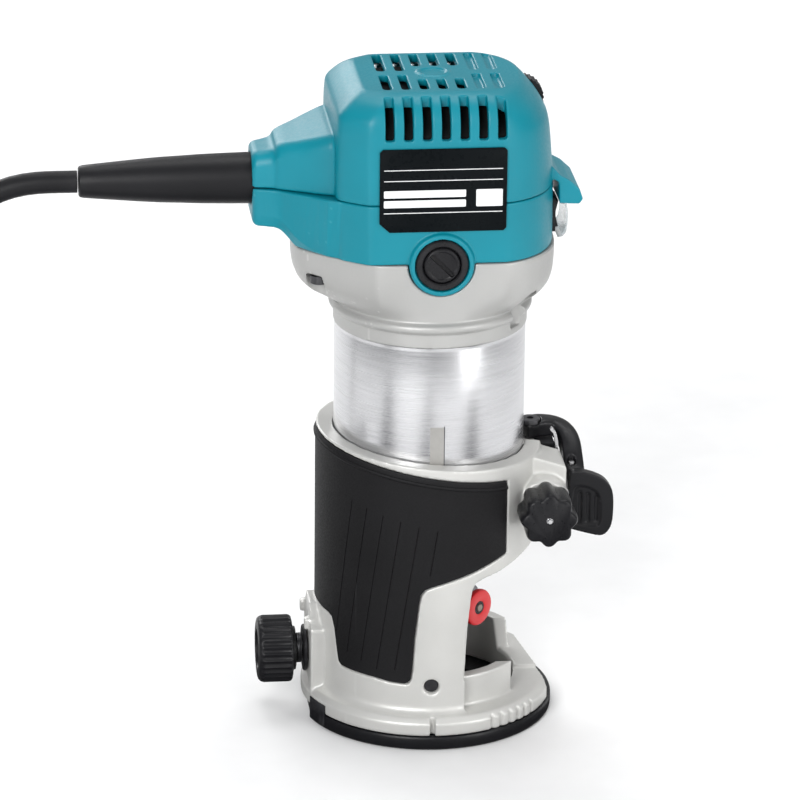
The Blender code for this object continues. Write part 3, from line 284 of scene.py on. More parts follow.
class Look:
    """A Principled material that gathers procedural colour, roughness and bump."""

    def __init__(self, name, colour, roughness, metallic=0.0, **sockets):
        self.material = bpy.data.materials.new(name)
        self.material.use_nodes = True
        self.tree = self.material.node_tree
        self.shader = self.tree.nodes["Principled BSDF"]
        self.colour = colour
        self.roughness = roughness
        sockets.update(Base_Color=(*colour, 1.0), Roughness=roughness, Metallic=metallic)
        set_values(self.shader, sockets)
        self.place = self.node("TexCoord")

    def node(self, kind, wires=(), **values):
        return add_node(self.tree, kind, wires, **values)

    def wire(self, output, socket):
        self.tree.links.new(output, self.shader.inputs[socket])

    def noise(self, scale, detail=3.0, stretch=(1.0, 1.0, 1.0)):
        mapping = self.node("Mapping", [(self.place.outputs["Object"], "Vector")], Scale=stretch)
        texture = self.node("TexNoise", [(mapping.outputs["Vector"], "Vector")], Scale=scale, Detail=detail)
        return texture.outputs["Fac"]

    def bump(self, height, strength, distance_mm):
        made = self.node("Bump", [(height, "Height")], Strength=strength, Distance=distance_mm * MM)
        self.wire(made.outputs["Normal"], "Normal")

    def ranged(self, value, low, high, start=0.3, stop=0.7):
        made = self.node("MapRange", [(value, "Value")], From_Min=start, From_Max=stop, To_Min=low, To_Max=high)
        return made.outputs["Result"]

    def tint(self, value, dark, light):
        ramp = self.node("ValToRGB", [(value, "Fac")])
        set_ramp(ramp, (0.3, (*[dark * c for c in self.colour], 1)),
                 (0.7, (*[min(1.0, light * c) for c in self.colour], 1)))
        return ramp.outputs["Color"]

    def grain(self, scale, bump_mm, colour_spread, roughness_spread=0.05):
        """Fine moulded or sprayed grain: height, colour and roughness follow small noise."""
        self.colour_out = self.tint(self.noise(38.0), 1.0 - colour_spread, 1.0 + colour_spread)
        self.wire(self.colour_out, "Base Color")
        self.wire(self.ranged(self.noise(scale * 0.4, 2.0), self.roughness - roughness_spread,
                              self.roughness + roughness_spread), "Roughness")
        self.bump(self.noise(scale, 4.0), 0.6, bump_mm)
        return self

    def worn_edges(self, colour, amount=0.35):
        """Convex edges rub lighter or darker."""
        edge = self.ranged(self.node("NewGeometry").outputs["Pointiness"], 0.0, 1.0, 0.53, 0.62)
        patchy = self.ranged(self.noise(260.0), 0.0, amount)
        both = self.node("Math", [(edge, 0), (patchy, 1)], operation="MULTIPLY")
        mix = self.node("Mix", [(both.outputs[0], "Factor"), (self.colour_out, "A")], data_type="RGBA", B=(*colour, 1))
        self.wire(mix.outputs["Result"], "Base Color")


def surface(name, colour, roughness, grain, worn=None, metallic=0.0, **sockets):
    look = Look(name, colour, roughness, metallic, **sockets).grain(*grain)
    if worn:
        look.worn_edges(*worn)
    return look.material


def silver_paint(name="silver_sprayed", colour=(0.61, 0.607, 0.585)):
    return surface(name, colour, 0.42, (3200.0, 0.05, 0.05, 0.07), ((0.72, 0.72, 0.7), 0.4), 0.32)


def black_plastic(name="black_moulding", roughness=0.42):
    return surface(name, (0.009, 0.009, 0.0105), roughness, (2800.0, 0.04, 0.12, 0.08), ((0.06, 0.06, 0.065), 0.5),
                   Specular_IOR_Level=0.26)


def rubber(name="grip_rubber", colour=(0.0085, 0.0083, 0.0092), roughness=0.62):
    return surface(name, colour, roughness, (4200.0, 0.05, 0.14, 0.08), ((0.05, 0.05, 0.052), 0.4),
                   Specular_IOR_Level=0.2)


def steel(name="bright_steel", colour=(0.62, 0.62, 0.63), roughness=0.28):
    return surface(name, colour, roughness, (1800.0, 0.012, 0.08, 0.07), metallic=1.0)


def machined_aluminium():
    look = Look("turned_aluminium", (0.66, 0.66, 0.675), 0.22, 1.0, Anisotropic=0.5)
    fine = look.noise(1.0, 3.0, (30.0, 30.0, 9000.0))
    broad = look.noise(1.0, 2.0, (60.0, 60.0, 900.0))
    look.wire(look.tint(broad, 0.94, 1.03), "Base Color")
    look.wire(look.ranged(fine, 0.2, 0.32), "Roughness")
    look.bump(fine, 0.35, 0.012)
    look.wire(look.node("Tangent", direction_type="RADIAL", axis="Z").outputs[0], "Tangent")
    return look.material


def lined_metal(name, colour, roughness, detail, stretch, light, bump):
    """Bare metal with fine lines: the sheets of a core or the strands of a winding."""
    look = Look(name, colour, roughness, 1.0)
    lines = look.noise(1.0, detail, stretch)
    look.wire(look.tint(lines, 0.6, light), "Base Color")
    look.bump(lines, *bump)
    return look.material


# ---------------------------------------------------------------- mesh tools


def outward(body):
    bmesh.ops.recalc_face_normals(body, faces=body.faces)
    return body


def turn(sides):
    """Even angles all the way round."""
    return [2 * math.pi * step / sides for step in range(sides)]


def polar(radius, angle, x=0.0, y=0.0):
    return x + radius * math.cos(angle), y + radius * math.sin(angle)


def walls(body, pairs):
    for low, high in pairs:
        for step in range(len(low)):
            after = (step + 1) % len(low)
            body.faces.new((low[step], low[after], high[after], high[step]))


def lathe(profile, sides=96, ring=False):
    """Turns (radius, height) points about Z and closes the ends; a ring's profile closes on itself."""
    body = bmesh.new()
    rows = [[body.verts.new((*polar(radius, angle), height)) for angle in turn(sides)]
            for radius, height in profile if radius >= 1e-6]
    pairs = list(zip(rows, rows[1:]))
    if ring:
        pairs.append((rows[-1], rows[0]))
    else:
        body.faces.new(rows[0])
        body.faces.new(rows[-1])
    walls(body, pairs)
    return outward(body)


def rod(radius, low, high, sides=32):
    return lathe([(radius, low), (radius, high)], sides)


def loft(rows):
    body = bmesh.new()
    made = [[body.verts.new(point) for point in row] for row in rows]
    walls(body, zip(made, made[1:]))
    body.faces.new(list(reversed(made[0])))
    body.faces.new(made[-1])
    return outward(body)


def prism(outline, low, high):
    return loft([[(x, y, low) for x, y in outline], [(x, y, high) for x, y in outline]])


def prism_y(outline, low, high):
    return loft([[(x, low, z) for x, z in outline], [(x, high, z) for x, z in outline]])


def prism_x(outline, low, high):
    return loft([[(low, y, z) for y, z in outline], [(high, y, z) for y, z in outline]])


def box(x0, x1, y0, y1, z0, z1):
    return prism([(x0, y0), (x1, y0), (x1, y1), (x0, y1)], z0, z1)


def corner(x, y, radius, start, steps):
    """A quarter turn round a centre, from a starting angle in degrees."""
    return [polar(radius, math.radians(start + 90 * step / steps), x, y) for step in range(steps + 1)]


def rounded(x0, x1, z0, z1, radius, steps=6):
    """Outline of a rectangle with round corners."""
    left, right, low, high = x0 + radius, x1 - radius, z0 + radius, z1 - radius
    return (corner(right, low, radius, -90, steps) + corner(right, high, radius, 0, steps)
            + corner(left, high, radius, 90, steps) + corner(left, low, radius, 180, steps))


def moved(body, x=0.0, y=0.0, z=0.0):
    bmesh.ops.transform(body, matrix=Matrix.Translation((x, y, z)), verts=body.verts)
    return body


def spun(body, degrees, axis="Z"):
    bmesh.ops.transform(body, matrix=Matrix.Rotation(math.radians(degrees), 4, axis), verts=body.verts)
    return body


def aimed(body, direction, point):
    turn = Vector((0.0, 0.0, 1.0)).rotation_difference(Vector(direction)).to_matrix().to_4x4()
    bmesh.ops.transform(body, matrix=Matrix.Translation(point) @ turn, verts=body.verts)
    return outward(body)


def merged(bodies):
    whole = bmesh.new()
    for body in bodies:
        copy = bpy.data.meshes.new("scratch")
        body.to_mesh(copy)
        body.free()
        whole.from_mesh(copy)
        bpy.data.meshes.remove(copy)
    return whole


def put(name, body, material=None, smooth_angle=34.0):
    """A bmesh in router millimetres becomes an object in the frame's metres."""
    bmesh.ops.transform(body, matrix=Matrix.Translation((AXIS_X, AXIS_Y, 0.0)), verts=body.verts)
    bmesh.ops.scale(body, vec=(MM, MM, MM), verts=body.verts)
    mesh = bpy.data.meshes.new(name)
    body.to_mesh(mesh)
    body.free()
    made = linked(name, mesh)
    if material:
        mesh.materials.append(material)
    smoothed(made, smooth_angle)
    return made


def settle(made):
    """Applies an object's modifiers to its mesh."""
    view = bpy.context.evaluated_depsgraph_get()
    view.update()
    mesh = bpy.data.meshes.new_from_object(made.evaluated_get(view), depsgraph=view)
    made.modifiers.clear()
    old = made.data
    made.data = mesh
    bpy.data.meshes.remove(old)
    mesh.name = made.name


def modify(made, kind, **settings):
    set_values(made.modifiers.new(kind.lower(), kind), settings)


def combine(made, body, operation):
    tool = put(made.name + "_tool", body)
    modify(made, "BOOLEAN", operation=operation, object=tool, solver="EXACT")
    settle(made)
    mesh = tool.data
    bpy.data.objects.remove(tool, do_unlink=True)
    bpy.data.meshes.remove(mesh)


def cut(made, body):
    combine(made, body, "DIFFERENCE")


def join(made, body):
    combine(made, body, "UNION")


def smoothed(made, angle):
    made.data.polygons.foreach_set("use_smooth", [True] * len(made.data.polygons))
    made.data.set_sharp_from_angle(angle=math.radians(angle))


def dressed(made, material, angle=None):
    """Puts one material on a mesh, and smooths it up to an angle when one is given."""
    made.data.materials.clear()
    made.data.materials.append(material)
    if angle:
        smoothed(made, angle)


def cast(made, voxel_mm, rounds, material):
    """Gives a solid the soft edges of a casting or moulding."""
    modify(made, "REMESH", mode="VOXEL", voxel_size=voxel_mm * MM, adaptivity=0.0)
    modify(made, "SMOOTH", factor=0.5, iterations=rounds)
    settle(made)
    dressed(made, material, 60.0)


def bevelled(made, material, width_mm, segments=3, angle=32.0):
    modify(made, "BEVEL", width=width_mm * MM, segments=segments, limit_method="ANGLE",
           angle_limit=math.radians(angle), harden_normals=False)
    settle(made)
    dressed(made, material, 40.0)


def heading(path, index):
    """Direction of a row of points at one of them."""
    before, after = path[max(index - 1, 0)], path[min(index + 1, len(path) - 1)]
    return Vector([b - a for a, b in zip(before, after)]).normalized()


def spline(points, parts):
    """Catmull-Rom points through a row of tuples."""
    padded = [points[0]] + list(points) + [points[-1]]
    made = []
    for index in range(1, len(padded) - 2):
        p0, p1, p2, p3 = padded[index - 1:index + 3]
        for step in range(parts):
            t = step / parts
            made.append(tuple(
                0.5 * (2 * b + (c - a) * t + (2 * a - 5 * b + 4 * c - d) * t * t + (3 * b - a - 3 * c + d) * t ** 3)
                for a, b, c, d in zip(p0, p1, p2, p3)))
    made.append(tuple(points[-1]))
    return made


def corner_cut(points, rounds=2):
    """Chaikin's rounding of an open row of points, ends kept."""
    for _ in range(rounds):
        made = [points[0]]
        for a, b in zip(points, points[1:]):
            made.append(tuple(0.75 * p + 0.25 * q for p, q in zip(a, b)))
            made.append(tuple(0.25 * p + 0.75 * q for p, q in zip(a, b)))
        made.append(points[-1])
        points = made
    return points


def finish_piece(made, body, slot, *nodes):
    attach(made, body)
    if nodes:
        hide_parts(*nodes)


def piece(name, shape, material, body, slot, *nodes):
    """A shape that is finished as it stands."""
    made = put(name, shape, material)
    finish_piece(made, body, slot, *nodes)
    return made


# ---------------------------------------------------------------- motor unit

OUTLINE = [
    (40.6, 0.0), (40.2, -7.0), (39.0, -13.0), (36.8, -19.0), (33.4, -24.4), (28.6, -28.8), (23.6, -31.4),
    (20.6, -32.0), (17.0, -32.0), (0.0, -32.0), (-20.6, -32.0), (-23.4, -32.0), (-25.4, -31.4), (-31.6, -27.2),
    (-34.0, -25.0), (-34.8, -22.0), (-34.8, -12.0), (-34.8, 0.0),
]
COVER_LEVELS = [
    (-34.8, 40.6, 32.0, SEAM_Z + 0.35), (-34.8, 39.8, 32.0, 203.0), (-34.7, 38.7, 32.0, 213.0),
    (-34.5, 37.0, 31.9, 217.4), (-33.9, 34.9, 31.1, 221.0), (-30.6, 32.0, 28.8, 224.6),
    (-27.6, 30.2, 25.8, 226.8), (-25.6, 28.8, 22.8, 227.8), (-24.6, 28.0, 20.8, ROOF_Z),
]
BOSS_LEVELS = [
    (-26.0, 22.0, 213.4), (-34.5, 20.5, 212.6), (-40.0, 18.4, 211.0), (-46.0, 15.4, 209.0), (-52.2, 12.4, 207.0),
    (-54.0, 11.2, 205.0), (-57.0, 10.4, 204.2), (-60.0, 9.9, 203.6), (-61.1, 9.0, 202.6),
]
SCREWS = [(-39.0, -13.4), (28.9, -20.6), (-39.0, 13.4), (28.9, 20.6)]
VENT_PITCH = 6.2
VENT_WIDTH = 3.0
VENT_SHIFT = 1.0
ROOF_SHIFT = 1.5
VENT_COUNT = 7


def both_sides(points):
    """Rounds the near half of an outline and mirrors it."""
    near = corner_cut(points, 2)
    return near + [(x, -y) for x, y in reversed(near[1:-1])]


def sized(outline, left, right, half):
    most_right = max(x for x, _ in outline)
    most_left = min(x for x, _ in outline)
    widest = max(y for _, y in outline)
    made = []
    for x, y in outline:
        scale = right / most_right if x > 0 else left / most_left
        made.append((x * scale, y * half / widest))
    return made


def cover_body(inset=0.0, low_z=None):
    rows = []
    for left, right, half, height in spline(COVER_LEVELS, 5):
        outline = sized(both_sides(OUTLINE), left + inset, right - inset, half - inset)
        rows.append([(x, y, height - inset) for x, y in outline])
    if low_z is not None:
        rows[0] = [(x, y, low_z) for x, y, _ in rows[0]]
    return loft(rows)


def boss_section(x, half, low, high, cut_low, cut_high):
    """Cross section with small corners below and large ones above."""
    flank, shoulder = half - cut_low, half - cut_high
    points = (corner(flank, low + cut_low, cut_low, -90, 4) + corner(shoulder, high - cut_high, cut_high, 0, 8)
              + corner(-shoulder, high - cut_high, cut_high, 90, 8) + corner(-flank, low + cut_low, cut_low, 180, 4))
    return [(x, y, z) for y, z in points]


def stadium_z(x, y0, y1, width, low, high):
    return prism(rounded(x - width / 2, x + width / 2, y0, y1, width / 2 - 0.01, 8), low, high)


def cover_vents():
    slots = []
    for index in range(VENT_COUNT):
        x = (index - 3) * VENT_PITCH + VENT_SHIFT
        for side in (-1, 1):
            y0, y1 = sorted((side * 24.6, side * 40.0))
            slots.append(prism_y(rounded(x - VENT_WIDTH / 2, x + VENT_WIDTH / 2, 213.9, 240.0, 0.6, 4), y0, y1))
            # The roof slots stop short of the round badge, and those of the last two columns are blind
            start = 2.2 if abs(index - 3) > 1 else 7.4
            depth = 222.0 if index < 5 else 226.6
            y0, y1 = sorted((side * start, side * (21.6 if side > 0 else 19.0)))
            slots.append(stadium_z(x - VENT_SHIFT + ROOF_SHIFT, y0, y1, VENT_WIDTH, depth, 240.0))
    return slots


def cord_hole():
    return aimed(rod(9.0, 0, 16, 64), (1, 0, 0), (-64, 0, CORD_Z))


def top_cover(material):
    made = put("top_cover_moulding", cover_body())
    rows = [boss_section(x, h, SEAM_Z + 0.35, t, 0.4, 5.0) for x, h, t in spline(BOSS_LEVELS, 3)]
    join(made, loft(rows))
    hood = [(36.0, 195.2), (41.5, 192.3), (41.9, 184.8), (48.6, 184.5), (49.8, 186.2), (48.6, 189.6),
            (45.2, 192.8), (42.0, 194.6), (39.0, 198.0), (36.0, 198.0)]
    join(made, prism_y(hood, -12.0, 12.0))
    scoop = aimed(rod(22.0, -30, 30, 96), (0.12, 1, 0), (50.2, 8.0, 239.4))
    cut(made, scoop)
    cut(made, cover_body(2.6, SEAM_Z - 1.0))
    cut(made, box(-52.0, -30.0, -8.5, 8.5, SEAM_Z - 1.0, 204.0))
    cut(made, merged(cover_vents()))
    cut(made, cord_hole())
    cut(made, box(24.0, 42.0, 5.0, 11.6, 206.0, 227.0))
    join(made, moved(lathe([(5.9, 224.4), (5.9, 228.1), (5.4, 228.5)], 64)))
    cut(made, lathe([(4.4, 227.7), (4.6, 230.0)], 64))
    cast(made, 0.36, 3, material)
    finish_piece(made, "motor", "teal_plastic", "top_cover")


def liner_body(inset, low_z):
    """Inside shape of the cover: straight walls under a tapered roof."""
    rows = []
    for left, right, half, height in ((-31.6, 35.4, 28.9, low_z), (-31.6, 35.4, 28.9, 214.5 - inset),
                                      (-22.0, 25.0, 18.0, 224.6 - inset)):
        rows.append([(x, y, height) for x, y in sized(both_sides(OUTLINE), left + inset, right - inset, half - inset)])
    return loft(rows)


def vent_shade_liner(material):
    """Dark sheet inside the cover that shows through the vents: painted shade for the dark inside of the motor."""
    made = put("vent_shade_sheet", liner_body(0.0, SEAM_Z - 1.0))
    cut(made, liner_body(1.2, SEAM_Z - 3.0))
    cut(made, box(18.0, 42.0, 4.4, 12.2, 185.0, 228.6))
    cut(made, box(-60.0, -28.0, -9.0, 9.0, 185.0, 206.0))
    made.data.materials.append(material)
    finish_piece(made, "motor", "black_plastic")


def housing_prow():
    rows = []
    levels = [
        (-20.0, 27.0, 28.0, 168.6), (-34.0, 22.6, 26.0, 168.6), (-42.0, 14.0, 21.0, 168.8), (-46.6, 9.8, 18.2, 171.3),
        (-49.4, 9.4, 16.2, 174.6), (-52.4, 9.2, 13.8, 177.4), (-57.0, 9.0, 12.0, 178.2), (-60.0, 8.8, 10.8, 178.7),
        (-61.1, 7.6, 9.6, 180.2),
    ]
    for x, low_half, high_half, low_z in spline(levels, 3):
        rows.append([
            (x, -low_half, low_z), (x, low_half, low_z), (x, low_half + 0.4 * (high_half - low_half), low_z + 4.0),
            (x, high_half, SEAM_Z + 3.0), (x, -high_half, SEAM_Z + 3.0),
            (x, -low_half - 0.4 * (high_half - low_half), low_z + 4.0),
        ])
    return loft(rows)


def at_brushes(profile, sides=96):
    """The same turned shape on the near and the far side."""
    return merged([aimed(lathe(profile, sides), (0, side, 0), (0, 0, BRUSH_Z)) for side in (-1, 1)])


def motor_housing(material):
    outline = both_sides(OUTLINE)
    top = sized(outline, -34.8, 40.6, 32.0)
    low = sized(outline, -34.0, 40.8, 31.8)
    made = put("motor_housing_moulding", loft([[(x, y, HOUSING_LOW_Z - 3.0) for x, y in low],
                                               [(x, y, SEAM_Z + 3.0) for x, y in top]]))
    join(made, housing_prow())
    cut(made, merged([box(-80, 60, -50, 50, SEAM_Z, SEAM_Z + 20),
                      box(-80, 60, -50, 50, HOUSING_LOW_Z - 20, HOUSING_LOW_Z)]))
    cut(made, cord_hole())
    cut(made, box(26.0, 48.0, -6.7, 6.7, 172.3, 185.7))
    join(made, at_brushes([(10.85, 23.0), (10.85, 33.0), (10.3, 33.6)]))
    bore = [(29.5, 150.0), (29.5, 184.8), (11.3, 184.8), (11.3, 200.0)]
    cut(made, lathe(bore, 96))
    cut(made, at_brushes([(7.2, 20.0), (7.2, 31.5), (9.1, 31.5), (9.1, 36.0)]))
    cast(made, 0.42, 3, material)
    finish_piece(made, "motor", "teal_plastic", "motor_housing")


FLANGE_OUTLINE = [
    (41.4, 0.0), (41.0, -8.0), (39.4, -16.0), (35.6, -22.6), (29.6, -28.4), (24.0, -31.4), (20.0, -32.0),
    (8.0, -32.0), (-10.0, -32.0), (-18.0, -32.0), (-23.0, -30.6), (-32.0, -23.6), (-40.0, -17.0), (-45.8, -11.2),
    (-47.3, -5.6), (-47.5, 0.0),
]


def reach(outline, angle):
    dx = math.cos(angle)
    dy = math.sin(angle)
    best = 0.0
    for (x0, y0), (x1, y1) in zip(outline, outline[1:] + outline[:1]):
        ex = x1 - x0
        ey = y1 - y0
        cross = dx * ey - dy * ex
        if abs(cross) < 1e-9:
            continue
        far = (x0 * ey - y0 * ex) / cross
        along = (x0 * dy - y0 * dx) / cross
        if far > 0 and -1e-6 <= along <= 1 + 1e-6:
            best = max(best, far)
    return best


def motor_flange(material):
    """Painted bowl, bead and ring above the machined cylinder."""
    sides = 180
    outline = both_sides(FLANGE_OUTLINE)
    rows = []
    ring = [(32.9, 141.8), (32.9, 146.5), (33.1, 146.9), (34.0, 147.3), (34.5, 148.1), (34.5, 149.1), (34.0, 149.9),
            (33.0, 150.4)]
    for radius, height in ring:
        rows.append([(*polar(radius, angle), height) for angle in turn(sides)])
    blends = spline([(150.6, 0.0), (151.6, 0.1), (153.2, 0.34), (155.4, 0.62), (158.4, 0.84), (162.4, 0.96),
                     (167.0, 1.0), (FLANGE_TOP_Z - 0.05, 1.0)], 4)
    reaches = [(angle, reach(outline, angle)) for angle in turn(sides)]
    for height, blend in blends[1:]:
        rows.append([(*polar(32.7 + blend * (far - 32.7), angle), height) for angle, far in reaches])
    made = put("motor_flange_casting", loft(rows))
    cut(made, rod(29.0, 130.0, 190.0, 96))
    notch = aimed(rod(11.2, -60, 60, 96), (0, 1, 0), (0, 0, BRUSH_Z))
    cut(made, notch)
    pocket = [(4.3, 144.0), (4.3, 162.8), (2.1, 162.8), (2.1, 175.0)]
    cut(made, merged([moved(lathe(pocket, 32), x, y) for x, y in SCREWS]))
    cast(made, 0.36, 3, material)
    finish_piece(made, "motor", "machined_aluminium", "motor_body")


def motor_cylinder(material):
    profile = [
        (29.0, BODY_BOTTOM_Z), (31.8, BODY_BOTTOM_Z), (32.4, BODY_BOTTOM_Z + 0.6), (MOTOR_R, BODY_BOTTOM_Z + 1.0),
        (MOTOR_R, 100.0), (MOTOR_R, 139.8), (32.35, 140.2), (32.35, 141.6), (29.0, 141.6),
    ]
    made = put("motor_cylinder_turned", lathe(profile, 256, ring=True), None)
    cut(made, box(29.8, 36.0, -2.4, 2.4, low_of("rack", 2) - 0.3, high_of("rack", 2) + 0.9))
    dressed(made, material, 30.0)
    finish_piece(made, "motor", "machined_aluminium", "motor_body")


def height_mark(light, dark):
    """Etched block with a darker edge, the mark that is read against the rim."""
    for name, radius, low, high, start, stop, material in (
            ("field", MOTOR_R + 0.03, 99.4, 113.6, -95.6, -87.4, light),
            ("line", MOTOR_R + 0.04, 99.4, 113.9, -87.4, -86.8, dark),
            ("base", MOTOR_R + 0.04, 98.8, 99.4, -95.6, -86.8, dark)):
        piece("height_mark_" + name, sector(radius - 0.25, radius, low, high, start, stop, 10), material,
              "motor", "machined_aluminium")


def housing_screws(material):
    for index, (x, y) in enumerate(SCREWS):
        profile = [(2.6, 159.4), (3.2, 159.8), (3.3, 160.4), (3.3, 162.5), (1.9, 162.5), (1.9, 184.0)]
        made = put(f"housing_screw_head_{index + 1}", moved(lathe(profile, 40), x, y))
        star = [polar(1.35 + 0.25 * math.cos(6 * angle), angle, x, y) for angle in turn(24)]
        cut(made, prism(star, 150.0, 160.9))
        made.data.materials.append(material)
        finish_piece(made, "motor", "dark_steel", f"housing_screw_{index + 1}")


def name_plate(ink, field):
    """A plain black plate with blank fields; it carries no lettering."""
    outline = [(-20.0, 211.6), (-21.0, 210.6), (-21.0, 186.0), (-17.6, 182.9), (20.2, 182.9), (21.2, 183.9),
               (21.2, 210.6), (20.2, 211.6)]
    made = put("name_plate_print", prism_y(outline, -32.7, -32.28))
    bevelled(made, ink, 0.12, 2)
    finish_piece(made, "motor", "label", "name_plate")
    fields = [
        (-19.6, 7.6, 194.9, 197.4), (-19.6, 7.6, 191.5, 194.0), (-19.6, 19.8, 200.6, 200.85),
        (-19.6, 19.8, 204.3, 204.55), (11.0, 19.8, 191.5, 197.4), (-19.6, 19.8, 189.5, 189.75),
    ]
    parts = []
    for x0, x1, z0, z1 in fields:
        radius = min(0.35, (z1 - z0) / 2 - 0.01)
        parts.append(prism_y(rounded(x0, x1, z0, z1, radius, 3), -32.76, -32.6))
    piece("name_plate_fields", merged(parts), field, "motor", "label")


def brush_caps(plastic):
    for side, place in ((-1, "near"), (1, "far")):
        profile = [(6.1, 26.0), (6.1, 33.1), (5.6, 33.6), (4.9, 33.6), (4.6, 33.35)]
        made = put("brush_cap_face_" + place, aimed(lathe(profile, 64), (0, side, 0), (0, 0, BRUSH_Z)))
        slot = spun(prism(rounded(-5.3, 5.3, -0.75, 0.75, 0.3, 3), 32.0, 36.0), -45.0)
        cut(made, aimed(slot, (0, side, 0), (0, 0, BRUSH_Z)))
        bevelled(made, plastic, 0.12, 2)
        finish_piece(made, "cap_" + place, "black_plastic", "brush_cap_" + place)
        profile = [(3.9, 15.2), (6.9, 15.2), (6.9, 31.8), (8.75, 31.8), (8.75, 33.2), (8.3, 33.65), (6.9, 33.65),
                   (6.4, 33.2), (6.4, 25.6), (3.9, 25.6)]
        piece("brush_holder_ring_" + place, aimed(lathe(profile, 72, ring=True), (0, side, 0), (0, 0, BRUSH_Z)),
              plastic, "motor", "black_plastic", "brush_holder_" + place)


def cord_guard(material):
    """Bend guard, smooth and tapered, with its fine end ring."""
    root = high_of("cord_guard", 0) - AXIS_X
    profile = [(8.4, 0.0), (8.6, 12.4), (8.62, 14.0), (8.5, 20.0), (8.25, 29.0), (7.9, 36.0), (7.6, 43.0),
               (7.1, 50.0), (6.5, 57.0), (5.9, 64.0), (5.5, 68.4), (5.2, 69.6), (4.7, 70.0)]
    piece("cord_guard_sleeve", aimed(lathe(profile, 72), (-1, 0, 0), (root, 0, CORD_Z)), material,
          "motor", "black_rubber", "cord_guard")


def switch_parts(plastic, clear):
    outline = rounded(-6.3, 6.3, 172.7, 185.3, 1.2, 5)
    made = put("switch_frame", prism_x(outline, 28.0, 41.4))
    cut(made, prism_x(rounded(-5.6, 5.6, 173.5, 184.5, 0.8, 5), 35.0, 44.0))
    made.data.materials.append(plastic)
    finish_piece(made, "motor", "black_plastic", "switch_body")
    rocker = [(36.4, 176.8), (36.4, 181.2), (39.2, 183.7), (42.5, 183.7)]
    for step in range(1, 8):
        z = 183.7 - 9.4 * step / 8
        rocker.append((41.4 + 1.1 * abs(z - 179.0) / 4.7, z))
    rocker += [(42.5, 174.3), (39.2, 174.3)]
    made = put("switch_rocker_cap", prism_y(rocker, -5.2, 5.2))
    bevelled(made, plastic, 0.25, 2, 40.0)
    finish_piece(made, "rocker", "black_plastic", "switch_rocker")
    outer = [(42.0, 171.6), (43.6, 171.9), (44.8, 173.4), (45.25, 176.0), (45.35, 179.0), (45.1, 182.0), (44.7, 183.8),
             (42.6, 184.2)]
    inner = [(42.6, 183.6), (44.1, 183.2), (44.5, 181.6), (44.7, 179.0), (44.6, 176.2), (44.2, 174.0), (43.3, 172.6),
             (42.0, 172.3)]
    piece("switch_dust_flap", prism_y(outer + inner, -8.2, 8.2), clear, "motor", "clear_plastic", "switch_cover")


def speed_dial(plastic):
    outline = [polar(7.1 + 0.16 * math.copysign(1, math.sin(28 * angle + 0.1)), angle, DIAL_X, DIAL_Z)
               for angle in turn(112)]
    piece("speed_dial_wheel", prism_y(outline, 5.4, 11.2), plastic, "dial", "black_plastic", "speed_dial")


def lock_axis(profile, sides, ring=False):
    low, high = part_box("lock_pin")
    place = ((low + high) / 2) / MM
    direction = Vector((place[0] - AXIS_X, place[1] - AXIS_Y, 0.0)).normalized()
    return aimed(lathe(profile, sides, ring), direction, (0, 0, LOCK_Z))


def spindle_lock(red, bright, dark):
    profile = [
        (1.7, 14.2), (3.2, 14.2), (3.2, 21.9), (5.9, 21.9), (6.3, 22.2), (6.45, 22.8), (6.45, 23.6), (6.2, 24.1),
        (5.7, 24.3), (3.0, 24.3), (2.4, 24.1), (2.3, 23.7), (1.7, 23.7),
    ]
    piece("lock_button_head", lock_axis(profile, 64, True), red, "lock", "red_plastic", "lock_button")
    piece("lock_button_ring", lock_axis([(1.45, 23.5), (2.25, 23.5), (2.25, 24.1), (1.45, 24.1)], 40, True), dark,
          "lock", "black_plastic")
    profile = [(1.0, 8.2), (1.4, 8.6), (1.4, 24.1), (1.2, 24.4)]
    piece("lock_pin_turned", lock_axis(profile, 32), bright, "lock", "steel", "lock_pin")


def spindle_nose(material):
    profile = [
        (9.6, 34.0), (14.4, 34.0), (15.4, 34.3), (16.4, 36.0), (16.8, 44.0), (17.6, 52.0), (18.6, 54.4), (22.6, 57.6),
        (24.2, 58.4), (24.6, 59.4), (24.6, 62.7), (13.7, 62.7), (13.7, 64.0), (11.3, 64.0), (11.3, 55.6), (8.4, 55.6),
        (8.4, 46.0), (9.6, 46.0),
    ]
    made = put("spindle_nose_turned", lathe(profile, 96, ring=True))
    join(made, lock_axis([(7.2, 11.4), (7.2, 18.2), (6.6, 18.8)], 64))
    cut(made, lock_axis([(3.5, 5.0), (3.5, 26.0)], 48))
    cast(made, 0.4, 2, material)
    finish_piece(made, "motor", "dark_steel", "spindle_nose")


def collet_parts(dark, bright):
    across = 17.0 / math.sqrt(3.0)
    hexagon = [polar(across, math.radians(60 * k + 12)) for k in range(6)]
    made = put("collet_nut_forged", prism(hexagon, 22.0, 34.4))
    combine(made, lathe([(7.6, 21.0), (9.9, 23.0), (9.9, 33.4), (8.8, 35.4)], 96), "INTERSECT")
    cut(made, lathe([(5.4, 20.0), (4.8, 22.8), (4.8, 25.0), (6.6, 25.0), (6.6, 36.0)], 64))
    bevelled(made, dark, 0.15, 2, 25.0)
    finish_piece(made, "collet_nut", "dark_steel", "collet_nut")
    made = put("collet_sleeve", lathe([(3.0, 22.8), (3.9, 22.8), (4.1, 23.0), (4.1, 25.0), (3.3, 34.6), (2.6, 34.6),
                                       (2.6, 33.0)], 64, ring=True))
    slots = [box(-0.35, 0.35, -8.0, 8.0, 20.0, 32.0), box(-8.0, -0.5, -0.35, 0.35, 20.0, 32.0),
             box(0.5, 8.0, -0.35, 0.35, 20.0, 32.0)]
    cut(made, merged(slots))
    made.data.materials.append(bright)
    finish_piece(made, "collet", "steel", "collet")


# ---------------------------------------------------------------- base unit


